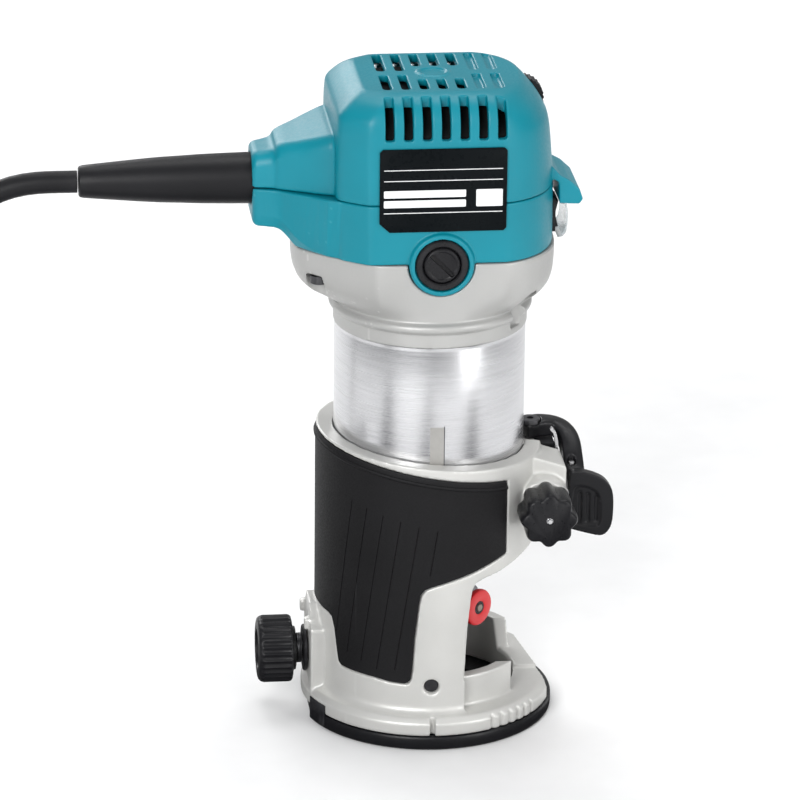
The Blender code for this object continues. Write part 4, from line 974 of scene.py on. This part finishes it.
def rim_cut():
    high = RIM_Z + 60 * RIM_SLOPE
    low = RIM_Z - 60 * RIM_SLOPE
    return prism_y([(-60, high), (60, low), (60, 140), (-60, 140)], -60, 60)


def window_cut():
    outline = [(9.0, APRON_TOP_Z), (9.4, 32.0), (9.9, 42.0), (10.9, 52.0), (11.6, 56.0), (12.6, 58.0), (15.4, 59.2),
               (21.0, 60.4), (27.0, 62.4), (33.2, 64.8), (39.0, 66.8), (60.0, 68.0), (60.0, APRON_TOP_Z)]
    return prism_y(outline, -50, 50)


def wedge(inner, outer, low, high, angle):
    """Corners of a radial section at an angle."""
    return [(*polar(radius, angle), z) for radius, z in ((inner, low), (outer, low), (outer, high), (inner, high))]


def sector(inner, outer, low, high, start, stop, steps):
    return loft([wedge(inner, outer, low, high, math.radians(start + (stop - start) * step / steps))
                 for step in range(steps + 1)])


GRIP_LOW = [
    # degrees round from the cord side, height of the grip's lower edge
    (128.0, 66.8), (118.0, 64.6), (108.0, 62.4), (97.0, 60.2), (86.5, 58.1), (82.6, 57.0), (80.6, 55.2), (79.6, 52.0),
    (77.4, 39.0), (76.4, 27.0), (75.6, 23.6), (73.6, 22.1), (65.0, 22.3), (57.0, 23.0), (45.0, 23.2), (35.4, 23.4),
    (33.2, 24.4), (32.0, 27.6), (29.4, 36.0), (27.0, 39.6), (23.6, 40.5), (16.0, 40.6), (8.0, 40.8), (0.0, 40.8),
]


def grip_low_edge(degrees):
    degrees = abs(degrees)
    for (a1, z1), (a0, z0) in zip(GRIP_LOW, GRIP_LOW[1:]):
        if a0 <= degrees <= a1:
            return z0 + (z1 - z0) * (degrees - a0) / (a1 - a0)
    return GRIP_LOW[0][1]


def grip_top_edge(degrees):
    return 96.6 + 0.165 * GRIP_R * math.cos(math.radians(degrees))


def grip_angles(spread):
    """Even steps round the grip, with a finer step where the lower edge is steep."""
    made = []
    angle = -GRIP_END - spread
    while angle < GRIP_END + spread:
        made.append(angle)
        steep = 74.0 < abs(angle) < 83.0 or 26.0 < abs(angle) < 35.0
        angle += 0.35 if steep else 1.5
    made.append(GRIP_END + spread)
    return made


def grip_recess():
    rows = []
    for degrees in grip_angles(0.45):
        shifted = abs(degrees)
        low = min(grip_low_edge(min(GRIP_END, shifted + 0.5)), grip_low_edge(max(0.0, shifted - 0.5))) - 0.35
        rows.append(wedge(37.3, 46.0, low, grip_top_edge(degrees) + 0.35, math.radians(180.0 + degrees)))
    return loft(rows)


def rubber_grip(material):
    """Moulded grip with round edges and a raised lip; its slanted grooves are cut after."""
    rows = []
    for degrees in grip_angles(0.0):
        low = grip_low_edge(degrees)
        top = grip_top_edge(degrees)
        side = 0.0 if abs(degrees) < 127.2 else 0.5
        line = [
            (37.6, low), (38.3 - side, low), (38.8 - side, low + 0.25), (GRIP_R + 0.05 - side, low + 0.8),
            (GRIP_R + 0.05 - side, low + 4.0), (GRIP_R + 0.05 - side, top - 4.4), (GRIP_R + 0.1 - side, top - 3.0),
            (39.25 - side, top - 2.6), (39.3 - side, top - 2.2), (39.1 - side, top - 1.8), (GRIP_R - side, top - 1.6),
            (GRIP_R - 0.1 - side, top - 0.6), (38.4 - side, top), (37.6, top),
        ]
        rows.append([(*polar(r, math.radians(180.0 + degrees)), z) for r, z in line])
    made = put("rubber_grip_moulding", loft(rows))
    grooves = []
    for side in (-1, 1):
        for index in range(6):
            groove = []
            for step in range(25):
                height = 86.0 - 1.5 * index - step * 2.3
                degrees = 30.0 + 9.6 * index + (height - 30.0) * 0.22
                if height < grip_low_edge(degrees) + 3.0:
                    break
                around = math.radians(180.0 - side * degrees)
                c, s = math.cos(around), math.sin(around)
                corners = ((38.45, -0.1), (40.4, -0.8), (40.4, 0.8), (38.45, 0.1))
                groove.append([(out * c - wide * s, out * s + wide * c, height) for out, wide in corners])
            grooves.append(loft(groove))
    cut(made, merged(grooves))
    dressed(made, material, 30.0)
    finish_piece(made, "base", "black_rubber", "rubber_grip")


def chord(distance, degrees, low, high):
    return spun(box(distance, distance + 30, -50, 50, low, high), degrees)


def base_casting(material):
    profile = [
        (30.4, 4.9), (42.8, 4.9), (43.4, 5.5), (43.4, 9.3), (41.6, 11.2), (40.4, FLANGE_Z), (39.6, 11.9),
        (38.8, 12.6), (WALL_R, 13.8), (WALL_R, 110.0), (COLLAR_BORE_R, 110.0), (COLLAR_BORE_R, 30.0),
        (APRON_BORE_R + 0.9, 26.6),
    ]
    made = put("base_casting_body", lathe(profile, 180, ring=True))
    cut(made, rim_cut())
    near = [(30, 78), (40, 76.5), (45.2, 80), (45.4, 92.0), (44.6, 93.0), (34, 96.4), (30, 97)]
    join(made, prism_y(near, -18.6, -2.0))
    far = [(30, 79), (44.4, 79), (44.4, 88.6), (43.8, 89.0), (30, 89.0)]
    join(made, prism_y(far, 2.0, EAR_FAR_Y))
    boss = lathe([(9.4, 10), (9.2, 20.0), (9.0, 24.6), (8.4, 25.4)], 72)
    join(made, aimed(boss, (0, -1, 0), (PINION_X, 0, PINION_Z)))
    web = [(-13, 8), (13, 8), (13, 32.6), (11.0, 34.0), (5.5, 40.2), (-5.5, 40.2), (-11.0, 34.0), (-13, 32.6)]
    join(made, prism_x(web, BLOCK_X, -33.0))
    join(made, merged([box(-43.2, -40.0, -9.8, -6.8, 31.6, 35.8), box(-43.2, -40.0, 6.8, 9.8, 31.6, 35.8)]))
    cut(made, rod(COLLAR_BORE_R, 32.0, 120.0, 180))
    cut(made, window_cut())
    cut(made, sector(APRON_R, 52.0, FLANGE_Z, 26.0, -76.0, 76.0, 60))
    cut(made, prism_x([(-21.0, FLANGE_Z), (14.0, FLANGE_Z), (18.0, 30.0), (-21.0, 30.0)], 18.0, 60.0))
    join(made, sector(31.0, 42.8, 9.0, FLANGE_Z + 0.9, -3.2, 46.0, 24))
    cut(made, chord(38.0, 9.0, 0.0, 30.0))
    cut(made, prism_y([(-5.8, 57.0), (-5.2, 57.0), (-8.8, 21.0), (-9.4, 21.0)], -44.0, -37.7))
    cut(made, merged([box(-60, BLOCK_X, -50, -13.5, 0, 14), box(-60, BLOCK_X, 13.5, 50, 0, 14)]))
    cut(made, box(28.0, 60.0, -2.5, 2.5, 55.0, 120.0))
    cut(made, moved(rod(9.2, 93.3, 120.0, 64), PIVOT_X, PIVOT_Y))
    cut(made, grip_recess())
    cut(made, aimed(rod(3.1, -10, 40), (0, -1, 0), (PINION_X, 0, PINION_Z)))
    bolt = centre_of("clamp_bolt")
    cut(made, aimed(rod(2.4, -16, 40), (0, 1, 0), (bolt[0] - AXIS_X, 0, bolt[2])))
    cut(made, moved(rod(2.1, 88.8, 110.0), PIVOT_X, PIVOT_Y))
    cut(made, aimed(rod(2.8, -2, 20), (-1, 0, 0), (-32.0, 0, GUIDE_Z)))
    tapped = aimed(lathe([(2.5, 26), (2.5, 37.4), (3.2, 39.0), (3.2, 44)], 40), (-0.06, -1, 0),
                   (0, 0, TAPPED_Z))
    cut(made, tapped)
    marks = []
    for index in range(6):
        marks.append(spun(box(-0.7, 0.7, -46.0, -42.4, 4.0, 13.0), 26.0 + 5.0 * index))
    marks.append(spun(box(-0.8, 0.8, -46.0, -41.0, 4.0, 13.0), -3.0))
    cut(made, merged(marks))
    cast(made, 0.45, 4, material)
    finish_piece(made, "base", "silver_paint", "base_casting")


def tapped_hole_shade(material):
    """Dark steel stopper that gives the tapped hole in the near post a blind end: painted shade for the deep hole."""
    profile = [(2.45, 31.6), (2.45, 36.7), (2.1, 37.0)]
    piece("tapped_hole_shade_stopper", aimed(lathe(profile, 40), (-0.06, -1, 0), (0, 0, TAPPED_Z)), material,
          "base", "dark_steel")


def hub_black_block(plastic):
    """Black block under the lever's hub, on top of the far ear."""
    made = put("hub_black_block", box(34.6, 44.2, 2.6, 11.8, 89.1, 93.2))
    cut(made, moved(rod(2.3, 80.0, 110.0), PIVOT_X, PIVOT_Y))
    bevelled(made, plastic, 0.4, 3)
    finish_piece(made, "base", "black_plastic")


def base_plate(material):
    profile = [
        (21.0, 0.5), (21.5, 0.0), (PLATE_R - 0.7, 0.0), (PLATE_R - 0.2, 0.25), (PLATE_R, 0.8), (PLATE_R, 3.9),
        (PLATE_R - 0.3, PLATE_TOP_Z), (21.0, PLATE_TOP_Z),
    ]
    made = put("base_plate_moulding", lathe(profile, 180, ring=True))
    for side in (-1, 1):
        lug = [(-41.6, side * 13.8), (-37.6, side * 22.9), (-36.6, side * 22.4), (-40.6, side * 13.4)]
        join(made, prism(lug, 1.0, 8.5))
    cut(made, box(-60, -41.0, -13.4, 13.4, -5, 12))
    cut(made, box(-60, -41.7, -50, 50, -5, 12))
    holes = []
    for x, y in PLATE_SCREWS:
        holes.append(moved(lathe([(3.7, -2), (3.7, 1.2), (2.0, 3.0), (2.0, 8.0)], 40), x, y))
    cut(made, merged(holes))
    bevelled(made, material, 0.2, 2, 40.0)
    finish_piece(made, "base", "black_plastic", "base_plate")


PLATE_SCREWS = [(25.4, -25.4), (25.4, 25.4), (-25.4, -25.4), (-25.4, 25.4)]


def plate_screws(material):
    for index, (x, y) in enumerate(PLATE_SCREWS):
        profile = [(3.0, 0.55), (3.3, 0.9), (3.2, 1.2), (1.6, 2.8), (1.6, 9.8)]
        made = put(f"plate_screw_head_{index + 1}", moved(lathe(profile, 40), x, y))
        cut(made, box(x - 1.9, x + 1.9, y - 0.4, y + 0.4, -1.0, 1.6))
        cut(made, box(x - 0.4, x + 0.4, y - 1.9, y + 1.9, -1.0, 1.6))
        made.data.materials.append(material)
        finish_piece(made, "base", "steel", f"plate_screw_{index + 1}")


def height_knob(plastic, bright):
    rows = []
    face = low_of("height_knob", 1)
    back = high_of("height_knob", 1)
    levels = [(back + 2.0, 0.86), (back + 1.8, 0.92), (back + 1.2, 0.96), (back - 1.0, 0.99), (face + 5.0, 1.0),
              (face + 2.0, 0.99), (face + 0.9, 0.965), (face + 0.3, 0.93), (face, 0.88)]
    for y, scale in levels:
        row = []
        for angle in turn(160):
            wave = math.cos(8 * angle)
            x, z = polar(scale * (9.25 + 0.72 * wave - 0.12 * wave * wave), angle, PINION_X, PINION_Z)
            row.append((x, y, z))
        rows.append(row)
    made = put("height_knob_moulding", loft(rows))
    cut(made, aimed(lathe([(1.0, -0.6), (1.5, 0.5), (1.5, 3.0)], 40), (0, -1, 0),
                    (PINION_X, face, PINION_Z)))
    dressed(made, plastic, 40.0)
    finish_piece(made, "height_knob", "black_plastic", "height_knob")
    pin = lathe([(0.95, -1.0), (0.95, 0.1), (0.7, 0.35)], 24)
    piece("height_knob_pin", aimed(pin, (0, -1, 0), (PINION_X, face, PINION_Z)), bright, "height_knob", "steel")


LEVER_PATH = [
    # centre x, centre y, half width, low z, high z
    (33.9, 9.6, 4.2, 93.6, 99.6), (40.0, 11.6, 4.4, 93.6, 99.8), (45.2, 11.2, 3.6, 93.4, 99.2),
    (48.4, 8.0, 3.3, 91.2, 97.8), (49.8, 3.6, 3.3, 86.5, 95.4), (50.0, -1.6, 3.4, 81.0, 91.6),
    (50.2, -5.6, 3.4, 80.0, 87.6), (50.4, -9.4, 3.2, 80.0, 85.6),
]


LEVER_PIN = (49.2, -3.8)


def clamp_lever(plastic):
    path = spline(LEVER_PATH, 6)
    rows = []
    for index, (x, y, half, low, high) in enumerate(path):
        along = heading([point[:2] for point in path], index)
        side = Vector((along.y, -along.x)) * half
        section = [(-1.0, low + 0.6), (-0.85, low), (0.85, low), (1.0, low + 0.6), (1.0, high - 1.4),
                   (0.9, high - 0.7), (0.65, high - 0.2), (0.3, high), (-0.3, high), (-0.65, high - 0.2),
                   (-0.9, high - 0.7), (-1.0, high - 1.4)]
        rows.append([(x + t * side.x, y + t * side.y, z) for t, z in section])
    made = put("clamp_lever_arm", loft(rows))
    paddle = [(47.6, 66.6), (47.6, 86.4), (48.4, 87.2), (52.0, 87.4), (58.2, 85.4), (61.4, 82.8), (63.2, 79.0),
              (63.2, 70.0), (62.2, 65.8), (59.6, 63.4), (56.6, 63.9)]
    paddle = corner_cut(paddle + [paddle[0]], 2)[:-1]
    join(made, prism_y(paddle, -10.6, -6.4))
    field = [(48.6, 68.6), (48.6, 81.6), (52.0, 82.6), (56.6, 80.8), (58.8, 78.0), (59.2, 68.0), (56.8, 66.4)]
    cut(made, prism_y(corner_cut(field + [field[0]], 2)[:-1], -13.0, -10.05))
    cut(made, moved(lathe([(2.1, 90), (2.1, 98.0), (3.8, 98.0), (3.8, 110)], 40), PIVOT_X, PIVOT_Y))
    cut(made, moved(rod(1.5, 78, 110), *LEVER_PIN))
    grooves = []
    for index, x in enumerate((51.6, 54.4, 57.2)):
        grooves.append(prism_y(rounded(x - 0.7, x + 0.7, 68.4, 80.0 - 0.7 * index, 0.65, 5), -13.0, -9.4))
    cut(made, merged(grooves))
    cast(made, 0.34, 3, plastic)
    finish_piece(made, "lever", "black_plastic", "clamp_lever")


def lever_pin(bright):
    profile = [(1.1, 80.4), (1.1, 88.6), (0.8, 89.0)]
    piece("lever_pin_turned", moved(lathe(profile, 32), *LEVER_PIN), bright, "lever", "steel", "lever_pin")


def clamp_link(bright):
    path = spline([(42.4, 99.6), (43.4, 98.6), (44.0, 96.6), (44.4, 93.6), (44.6, 88.0)], 4)
    rows = []
    for index, (x, z) in enumerate(path):
        along = heading(path, index)
        nx, nz = along.y * 0.5, -along.x * 0.5
        rows.append([(x - nx, -1.3, z - nz), (x + nx, -1.3, z + nz), (x + nx, 1.3, z + nz), (x - nx, 1.3, z - nz)])
    piece("clamp_link_strip", loft(rows), bright, "lever", "steel", "clamp_link")


def guide_parts(plastic, dark):
    rows = []
    count = 30
    face = low_of("guide_knob", 0) - AXIS_X
    for depth, radius, ridge in ((0.0, 9.6, 0.0), (0.25, 10.6, 0.0), (0.9, 11.3, 0.0), (1.5, 11.55, 0.2),
                                 (2.2, 11.72, 0.75), (10.6, 11.72, 0.75), (11.3, 11.5, 0.2), (11.8, 11.1, 0.0),
                                 (12.0, 10.4, 0.0), (12.05, 7.8, 0.0), (13.2, 7.5, 0.0)):
        row = []
        for angle in turn(count * 6):
            tooth = max(0.0, math.cos(count * angle)) ** 0.6
            row.append((face + depth, *polar(radius - ridge * (1.0 - tooth), angle, 0.0, GUIDE_Z)))
        rows.append(row)
    made = put("guide_knob_moulding", loft(rows))
    cut(made, aimed(rod(2.7, 0, 12), (-1, 0, 0), (-44, 0, GUIDE_Z)))
    cut(made, aimed(lathe([(6.6, -0.9), (7.2, 0.5)], 72), (-1, 0, 0), (face, 0, GUIDE_Z)))
    dressed(made, plastic, 38.0)
    finish_piece(made, "guide_knob", "black_plastic", "guide_knob")
    profile = [(2.8, 41.7), (7.7, 41.7), (8.1, 42.0), (8.1, 42.7), (7.8, 43.0), (2.8, 43.0)]
    piece("guide_washer_turned", aimed(lathe(profile, 72, ring=True), (-1, 0, 0), (0, 0, GUIDE_Z)), plastic,
          "guide_washer", "black_plastic", "guide_washer")
    path = [Vector((-43.6 - 1.5 * step / 72, *polar(4.9, 2 * math.pi * step / 24, 0.0, GUIDE_Z)))
            for step in range(73)]
    piece("guide_spring_wire", tube_mesh(path, 0.35, 10), dark, "guide_washer", "dark_steel", "guide_spring")


# ---------------------------------------------------------------- cord

COIL_STRANDS = [
    # offset from the middle of the turns and height, from the top strand to the outer one on the floor
    (-3.8, 17.1), (3.8, 17.1), (7.6, 10.6), (0.0, 10.6), (-7.6, 10.6), (-11.4, 3.95), (-3.8, 3.95), (3.8, 3.95),
    (11.4, 3.95),
]
COIL_STEPS = 48
STRAND_SHIFT = 0.05
STRAND_BLEND = 0.2


def tube_mesh(path, radius, sides):
    """A round tube along a row of points, with closed ends."""
    rows = []
    up = Vector((0.0, 0.0, 1.0))
    for index, point in enumerate(path):
        along = (path[min(index + 1, len(path) - 1)] - path[max(index - 1, 0)]).normalized()
        if index == 0:
            across = along.cross(up)
            if across.length < 0.1:
                across = along.cross(Vector((0.0, 1.0, 0.0)))
        across = (across - along * across.dot(along)).normalized()
        lift = along.cross(across)
        rows.append([tuple(point + radius * (math.cos(angle) * across + math.sin(angle) * lift))
                     for angle in turn(sides)])
    return loft(rows)


def arc(centre_a, centre_b, radius, start, stop, steps):
    """Points of a flat arc, its first point left out."""
    return [polar(radius, start + (stop - start) * step / steps, centre_a, centre_b) for step in range(1, steps + 1)]


def ease(share):
    share = min(1.0, max(0.0, share))
    return share * share * (3.0 - 2.0 * share)


def cord_route():
    """Side view of the droop, with an even drift sideways to the far side of the coil."""
    side = [(CORD_EXIT_X, CORD_Z), ((CORD_EXIT_X + CORD_BEND_X) / 2, CORD_Z), (CORD_BEND_X, CORD_Z)]
    side += arc(CORD_BEND_X, CORD_Z - CORD_BEND_R, CORD_BEND_R, math.pi / 2, math.pi, 6)
    fall_x, fall_z = side[-1]
    land_x = COIL_X + CORD_LAND_R
    land_z = CORD_LAND_Z + CORD_LAND_R
    for step in range(1, 11):
        share = step / 10
        side.append((fall_x + share * (land_x - fall_x), fall_z + share * (land_z - fall_z)))
    side += arc(COIL_X, land_z, CORD_LAND_R, 0.0, -math.pi / 2, 6)
    gone = [0.0]
    for before, after in zip(side, side[1:]):
        gone.append(gone[-1] + math.dist(before, after))
    reach_y = COIL_Y + COIL_R
    return [(x, reach_y * ease((far - 22.0) / (gone[-1] - 34.0)), z) for (x, z), far in zip(side, gone)]


def tail_route(first=TAIL_STRAIGHT):
    """From the outer strand of the coil round to the plug that lies beside it."""
    c = math.cos(TAIL_ANGLE)
    s = math.sin(TAIL_ANGLE)
    flat = []
    gone = []
    step = first
    while step <= TAIL_STRAIGHT:
        flat.append((COIL_X + TAIL_STRAND_R * c - step * s, COIL_Y + TAIL_STRAND_R * s + step * c))
        gone.append(step)
        step += 7.0
    start_x, start_y = flat[-1]
    bend = TAIL_BEND_R * (math.pi - TAIL_ANGLE)
    flat += arc(start_x - TAIL_BEND_R * c, start_y - TAIL_BEND_R * s, TAIL_BEND_R, TAIL_ANGLE, math.pi, 8)
    gone += [TAIL_STRAIGHT + bend * k / 8 for k in range(1, 9)]
    flat.append((flat[-1][0], flat[-1][1] - TAIL_END))
    gone.append(TAIL_STRAIGHT + bend + TAIL_END)
    made = []
    for (x, y), far in zip(flat, gone):
        rise = ease((far - 8.0) / (gone[-1] - 8.0))
        made.append((x, y, TAIL_STRAND_Z + rise * (PLUG_Z - TAIL_STRAND_Z)))
    return made


def coil_path():
    """Down from the top, turn by turn through the strands, to the outer strand on the floor."""
    made = []
    last = len(COIL_STRANDS) + math.degrees(TAIL_ANGLE - math.pi / 2) / 360
    for step in range(int(COIL_STEPS * last) + 1):
        turn = step / COIL_STEPS
        index = max(0, min(int(turn - STRAND_SHIFT), len(COIL_STRANDS) - 1))
        share = turn - STRAND_SHIFT - index
        offset, height = COIL_STRANDS[index]
        before = COIL_STRANDS[index - 1] if index else (0.0, CORD_LAND_Z - COIL_LOW_Z)
        still = 1.0 - ease(share / STRAND_BLEND)
        offset += still * (before[0] - offset)
        height += still * (before[1] - height)
        angle = math.pi / 2 + 2 * math.pi * turn
        radius = COIL_R + offset
        x = COIL_X + radius * math.cos(angle)
        y = COIL_Y + radius * math.sin(angle)
        made.append(Vector((x, y, COIL_LOW_Z + height)))
    return made


def metres(point):
    """From router millimetres to the frame's metres."""
    return Vector((point[0] + AXIS_X, point[1] + AXIS_Y, point[2])) * MM


def cord_path():
    droop = [Vector(point) for point in spline(cord_route(), 2)]
    tail = [Vector(point) for point in spline(tail_route(6.0), 2)]
    whole = droop[:-1] + coil_path() + tail
    for _ in range(2):
        inner = [(a + 2 * b + c) / 4 for a, b, c in zip(whole, whole[1:], whole[2:])]
        whole = [whole[0]] + inner + [whole[-1]]
    return whole


def cord(sheath):
    path = cord_path()
    made = put("mains_cord", tube_mesh(path, CORD_D / 2, 16), sheath, 80.0)
    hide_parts("cord_tube", "cord_tail", "cord_coil")
    exit_point = metres(path[0])
    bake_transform(made)
    return made, path, exit_point


def cord_tie(strap):
    """Hook-and-loop strap round the bundle of turns, on the near side of the coil."""
    outer = [(-16.4, 0.4), (-16.4, 7.0), (-9.4, 19.6), (-7.0, 21.4), (7.0, 21.4), (9.4, 19.6), (16.4, 7.0),
             (16.4, 0.4), (15.4, -0.6), (-15.4, -0.6), (-16.4, 0.4)]
    outer = corner_cut(outer, 2)[:-1]
    inner = [(u * 0.945, 10.4 + (w - 10.4) * 0.915) for u, w in outer]
    band = loft([[(u, -6.0, w) for u, w in outer], [(u, 6.0, w) for u, w in outer]])
    made = put("cord_tie_strap", spun_to_coil(band))
    cut(made, spun_to_coil(loft([[(u, -9.0, w) for u, w in inner], [(u, 9.0, w) for u, w in inner]])))
    tongue = [(6.4, 21.2), (9.9, 19.6), (14.2, 12.0), (15.2, 12.6), (10.6, 20.6), (6.6, 22.3)]
    join(made, spun_to_coil(loft([[(u, -5.2, w) for u, w in tongue], [(u, 5.2, w) for u, w in tongue]])))
    made.data.materials.append(strap)
    finish_piece(made, "base", "black_rubber")


def spun_to_coil(body):
    return moved(spun(moved(body, -COIL_R), 90.0), COIL_X, COIL_Y, COIL_LOW_Z)


def mains_plug(plastic, bright):
    """Round two-pin plug with its own bend relief."""
    profile = [
        (0, 0.0), (4.9, 0.0), (5.3, 0.5), (5.6, 3.0), (5.2, 3.8), (5.9, 4.8), (6.2, 7.4), (5.8, 8.2), (6.7, 9.4),
        (7.2, 12.0), (8.4, 14.6), (12.4, 17.8), (14.6, 20.6), (15.6, 24.0), (15.9, 30.0), (16.2, 38.0), (16.3, 43.0),
        (15.8, 44.6), (14.8, 45.0), (0, 45.0),
    ]
    made = piece("mains_plug_moulding", aimed(lathe(spline(profile, 3), 72), (0, -1, 0), (PLUG_X, PLUG_Y, PLUG_Z)),
                 plastic, "base", "black_rubber", "plug")
    for index, x in enumerate((-9.5, 9.5)):
        profile = [(2.0, 44.0), (2.0, 54.0), (2.4, 54.4), (2.4, 62.6), (1.9, 63.6), (0.8, 63.9)]
        piece(f"mains_plug_pin_{index + 1}", aimed(lathe(profile, 32), (0, -1, 0), (PLUG_X + x, PLUG_Y, PLUG_Z)),
              bright, "base", "steel")
    return made


# ---------------------------------------------------------------- the whole scene


camera()
studio()
floor()
shade_cards()

LOOK_SHEATH = rubber("cord_sheath", (0.01, 0.01, 0.0115), 0.5)
LOOK_PLASTIC = black_plastic()
LOOK_BRIGHT = steel()

cord_piece, cord_line, cord_exit = cord(LOOK_SHEATH)
plug_piece = mains_plug(LOOK_PLASTIC, LOOK_BRIGHT)
cord_tie(LOOK_SHEATH)

LOOK_TEAL = surface("teal_moulding", (0.0, 0.21, 0.275), 0.4, (2600.0, 0.035, 0.05), ((0.10, 0.42, 0.48), 0.3),
                    Specular_IOR_Level=0.36)
LOOK_DARK_STEEL = surface("black_oxide_steel", (0.07, 0.07, 0.075), 0.36, (2000.0, 0.015, 0.15, 0.08),
                          ((0.3, 0.3, 0.31), 0.5), 0.85)
LOOK_RED = surface("red_moulding", (0.66, 0.02, 0.025), 0.34, (2400.0, 0.02, 0.05))
LOOK_CLEAR = surface("clear_moulding", (0.8, 0.84, 0.85), 0.16, (900.0, 0.01, 0.02, 0.04), Transmission_Weight=0.75,
                     IOR=1.46)
LOOK_LABEL = surface("label_ink", (0.004, 0.0055, 0.0065), 0.3, (1500.0, 0.006, 0.1, 0.06), Specular_IOR_Level=0.06)
LOOK_FIELD = surface("label_field", (0.78, 0.79, 0.8), 0.4, (1500.0, 0.006, 0.03, 0.06))

top_cover(LOOK_TEAL)
# Painted shade: a dark sheet behind the vents
vent_shade_liner(rubber("vent_shadow", (0.003, 0.004, 0.0045), 0.8))
motor_housing(LOOK_TEAL)
motor_flange(silver_paint("silver_flange", (0.43, 0.43, 0.42)))
motor_cylinder(machined_aluminium())
height_mark(steel("mark_field", (0.5, 0.49, 0.47), 0.5), LOOK_DARK_STEEL)
housing_screws(LOOK_DARK_STEEL)
name_plate(LOOK_LABEL, LOOK_FIELD)
brush_caps(black_plastic("black_satin", 0.3))
cord_guard(rubber("guard_rubber", (0.01, 0.01, 0.0115), 0.42))
switch_parts(LOOK_PLASTIC, LOOK_CLEAR)
speed_dial(LOOK_PLASTIC)
spindle_lock(LOOK_RED, steel("lock_pin_steel", (0.34, 0.29, 0.25), 0.5), LOOK_PLASTIC)
spindle_nose(steel("cast_nose", (0.22, 0.22, 0.23), 0.4))
collet_parts(LOOK_DARK_STEEL, LOOK_BRIGHT)

base_casting(silver_paint())
rubber_grip(rubber())
# Painted shade: a dark stopper inside the tapped hole
tapped_hole_shade(LOOK_DARK_STEEL)
hub_black_block(LOOK_PLASTIC)
base_plate(black_plastic("sole_moulding", 0.36))
plate_screws(LOOK_BRIGHT)
height_knob(black_plastic("knob_moulding", 0.34), LOOK_BRIGHT)
clamp_lever(black_plastic("lever_moulding", 0.36))
lever_pin(LOOK_BRIGHT)
clamp_link(LOOK_BRIGHT)
guide_parts(black_plastic("guide_moulding", 0.4), LOOK_DARK_STEEL)

LOOK_COPPER = lined_metal("enamelled_copper", (0.55, 0.2, 0.07), 0.3, 2.0, (900.0, 900.0, 200.0), 1.25, (0.9, 0.15))
LOOK_SHEETS = lined_metal("lamination_stack", (0.3, 0.3, 0.31), 0.45, 1.0, (20.0, 20.0, 2600.0), 1.2, (0.8, 0.08))
LOOK_CARBON = surface("pressed_carbon", (0.02, 0.02, 0.021), 0.7, (3000.0, 0.04, 0.2))
LOOK_BOARD = surface("circuit_board", (0.02, 0.12, 0.05), 0.4, (600.0, 0.02, 0.3))

# CAD nodes that keep their own shape and only get a better material
for kept_look, kept_nodes in (
        (LOOK_BRIGHT, ("spindle", "bearing_lower", "bearing_upper", "pinion_shaft", "clamp_bolt", "clamp_nut")),
        (LOOK_PLASTIC, ("fan",)), (LOOK_SHEETS, ("armature_core", "field_core")),
        (LOOK_COPPER, ("armature_winding_lower", "armature_winding_upper", "commutator", "field_winding_lower",
                       "field_winding_upper")),
        (LOOK_CARBON, ("brush_near", "brush_far")), (LOOK_BOARD, ("control_board",)),
        (LOOK_DARK_STEEL, ("rack", "lever_pivot_screw", "guide_screw"))):
    for kept_node in kept_nodes:
        for material_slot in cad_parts[kept_node].material_slots:
            material_slot.material = kept_look
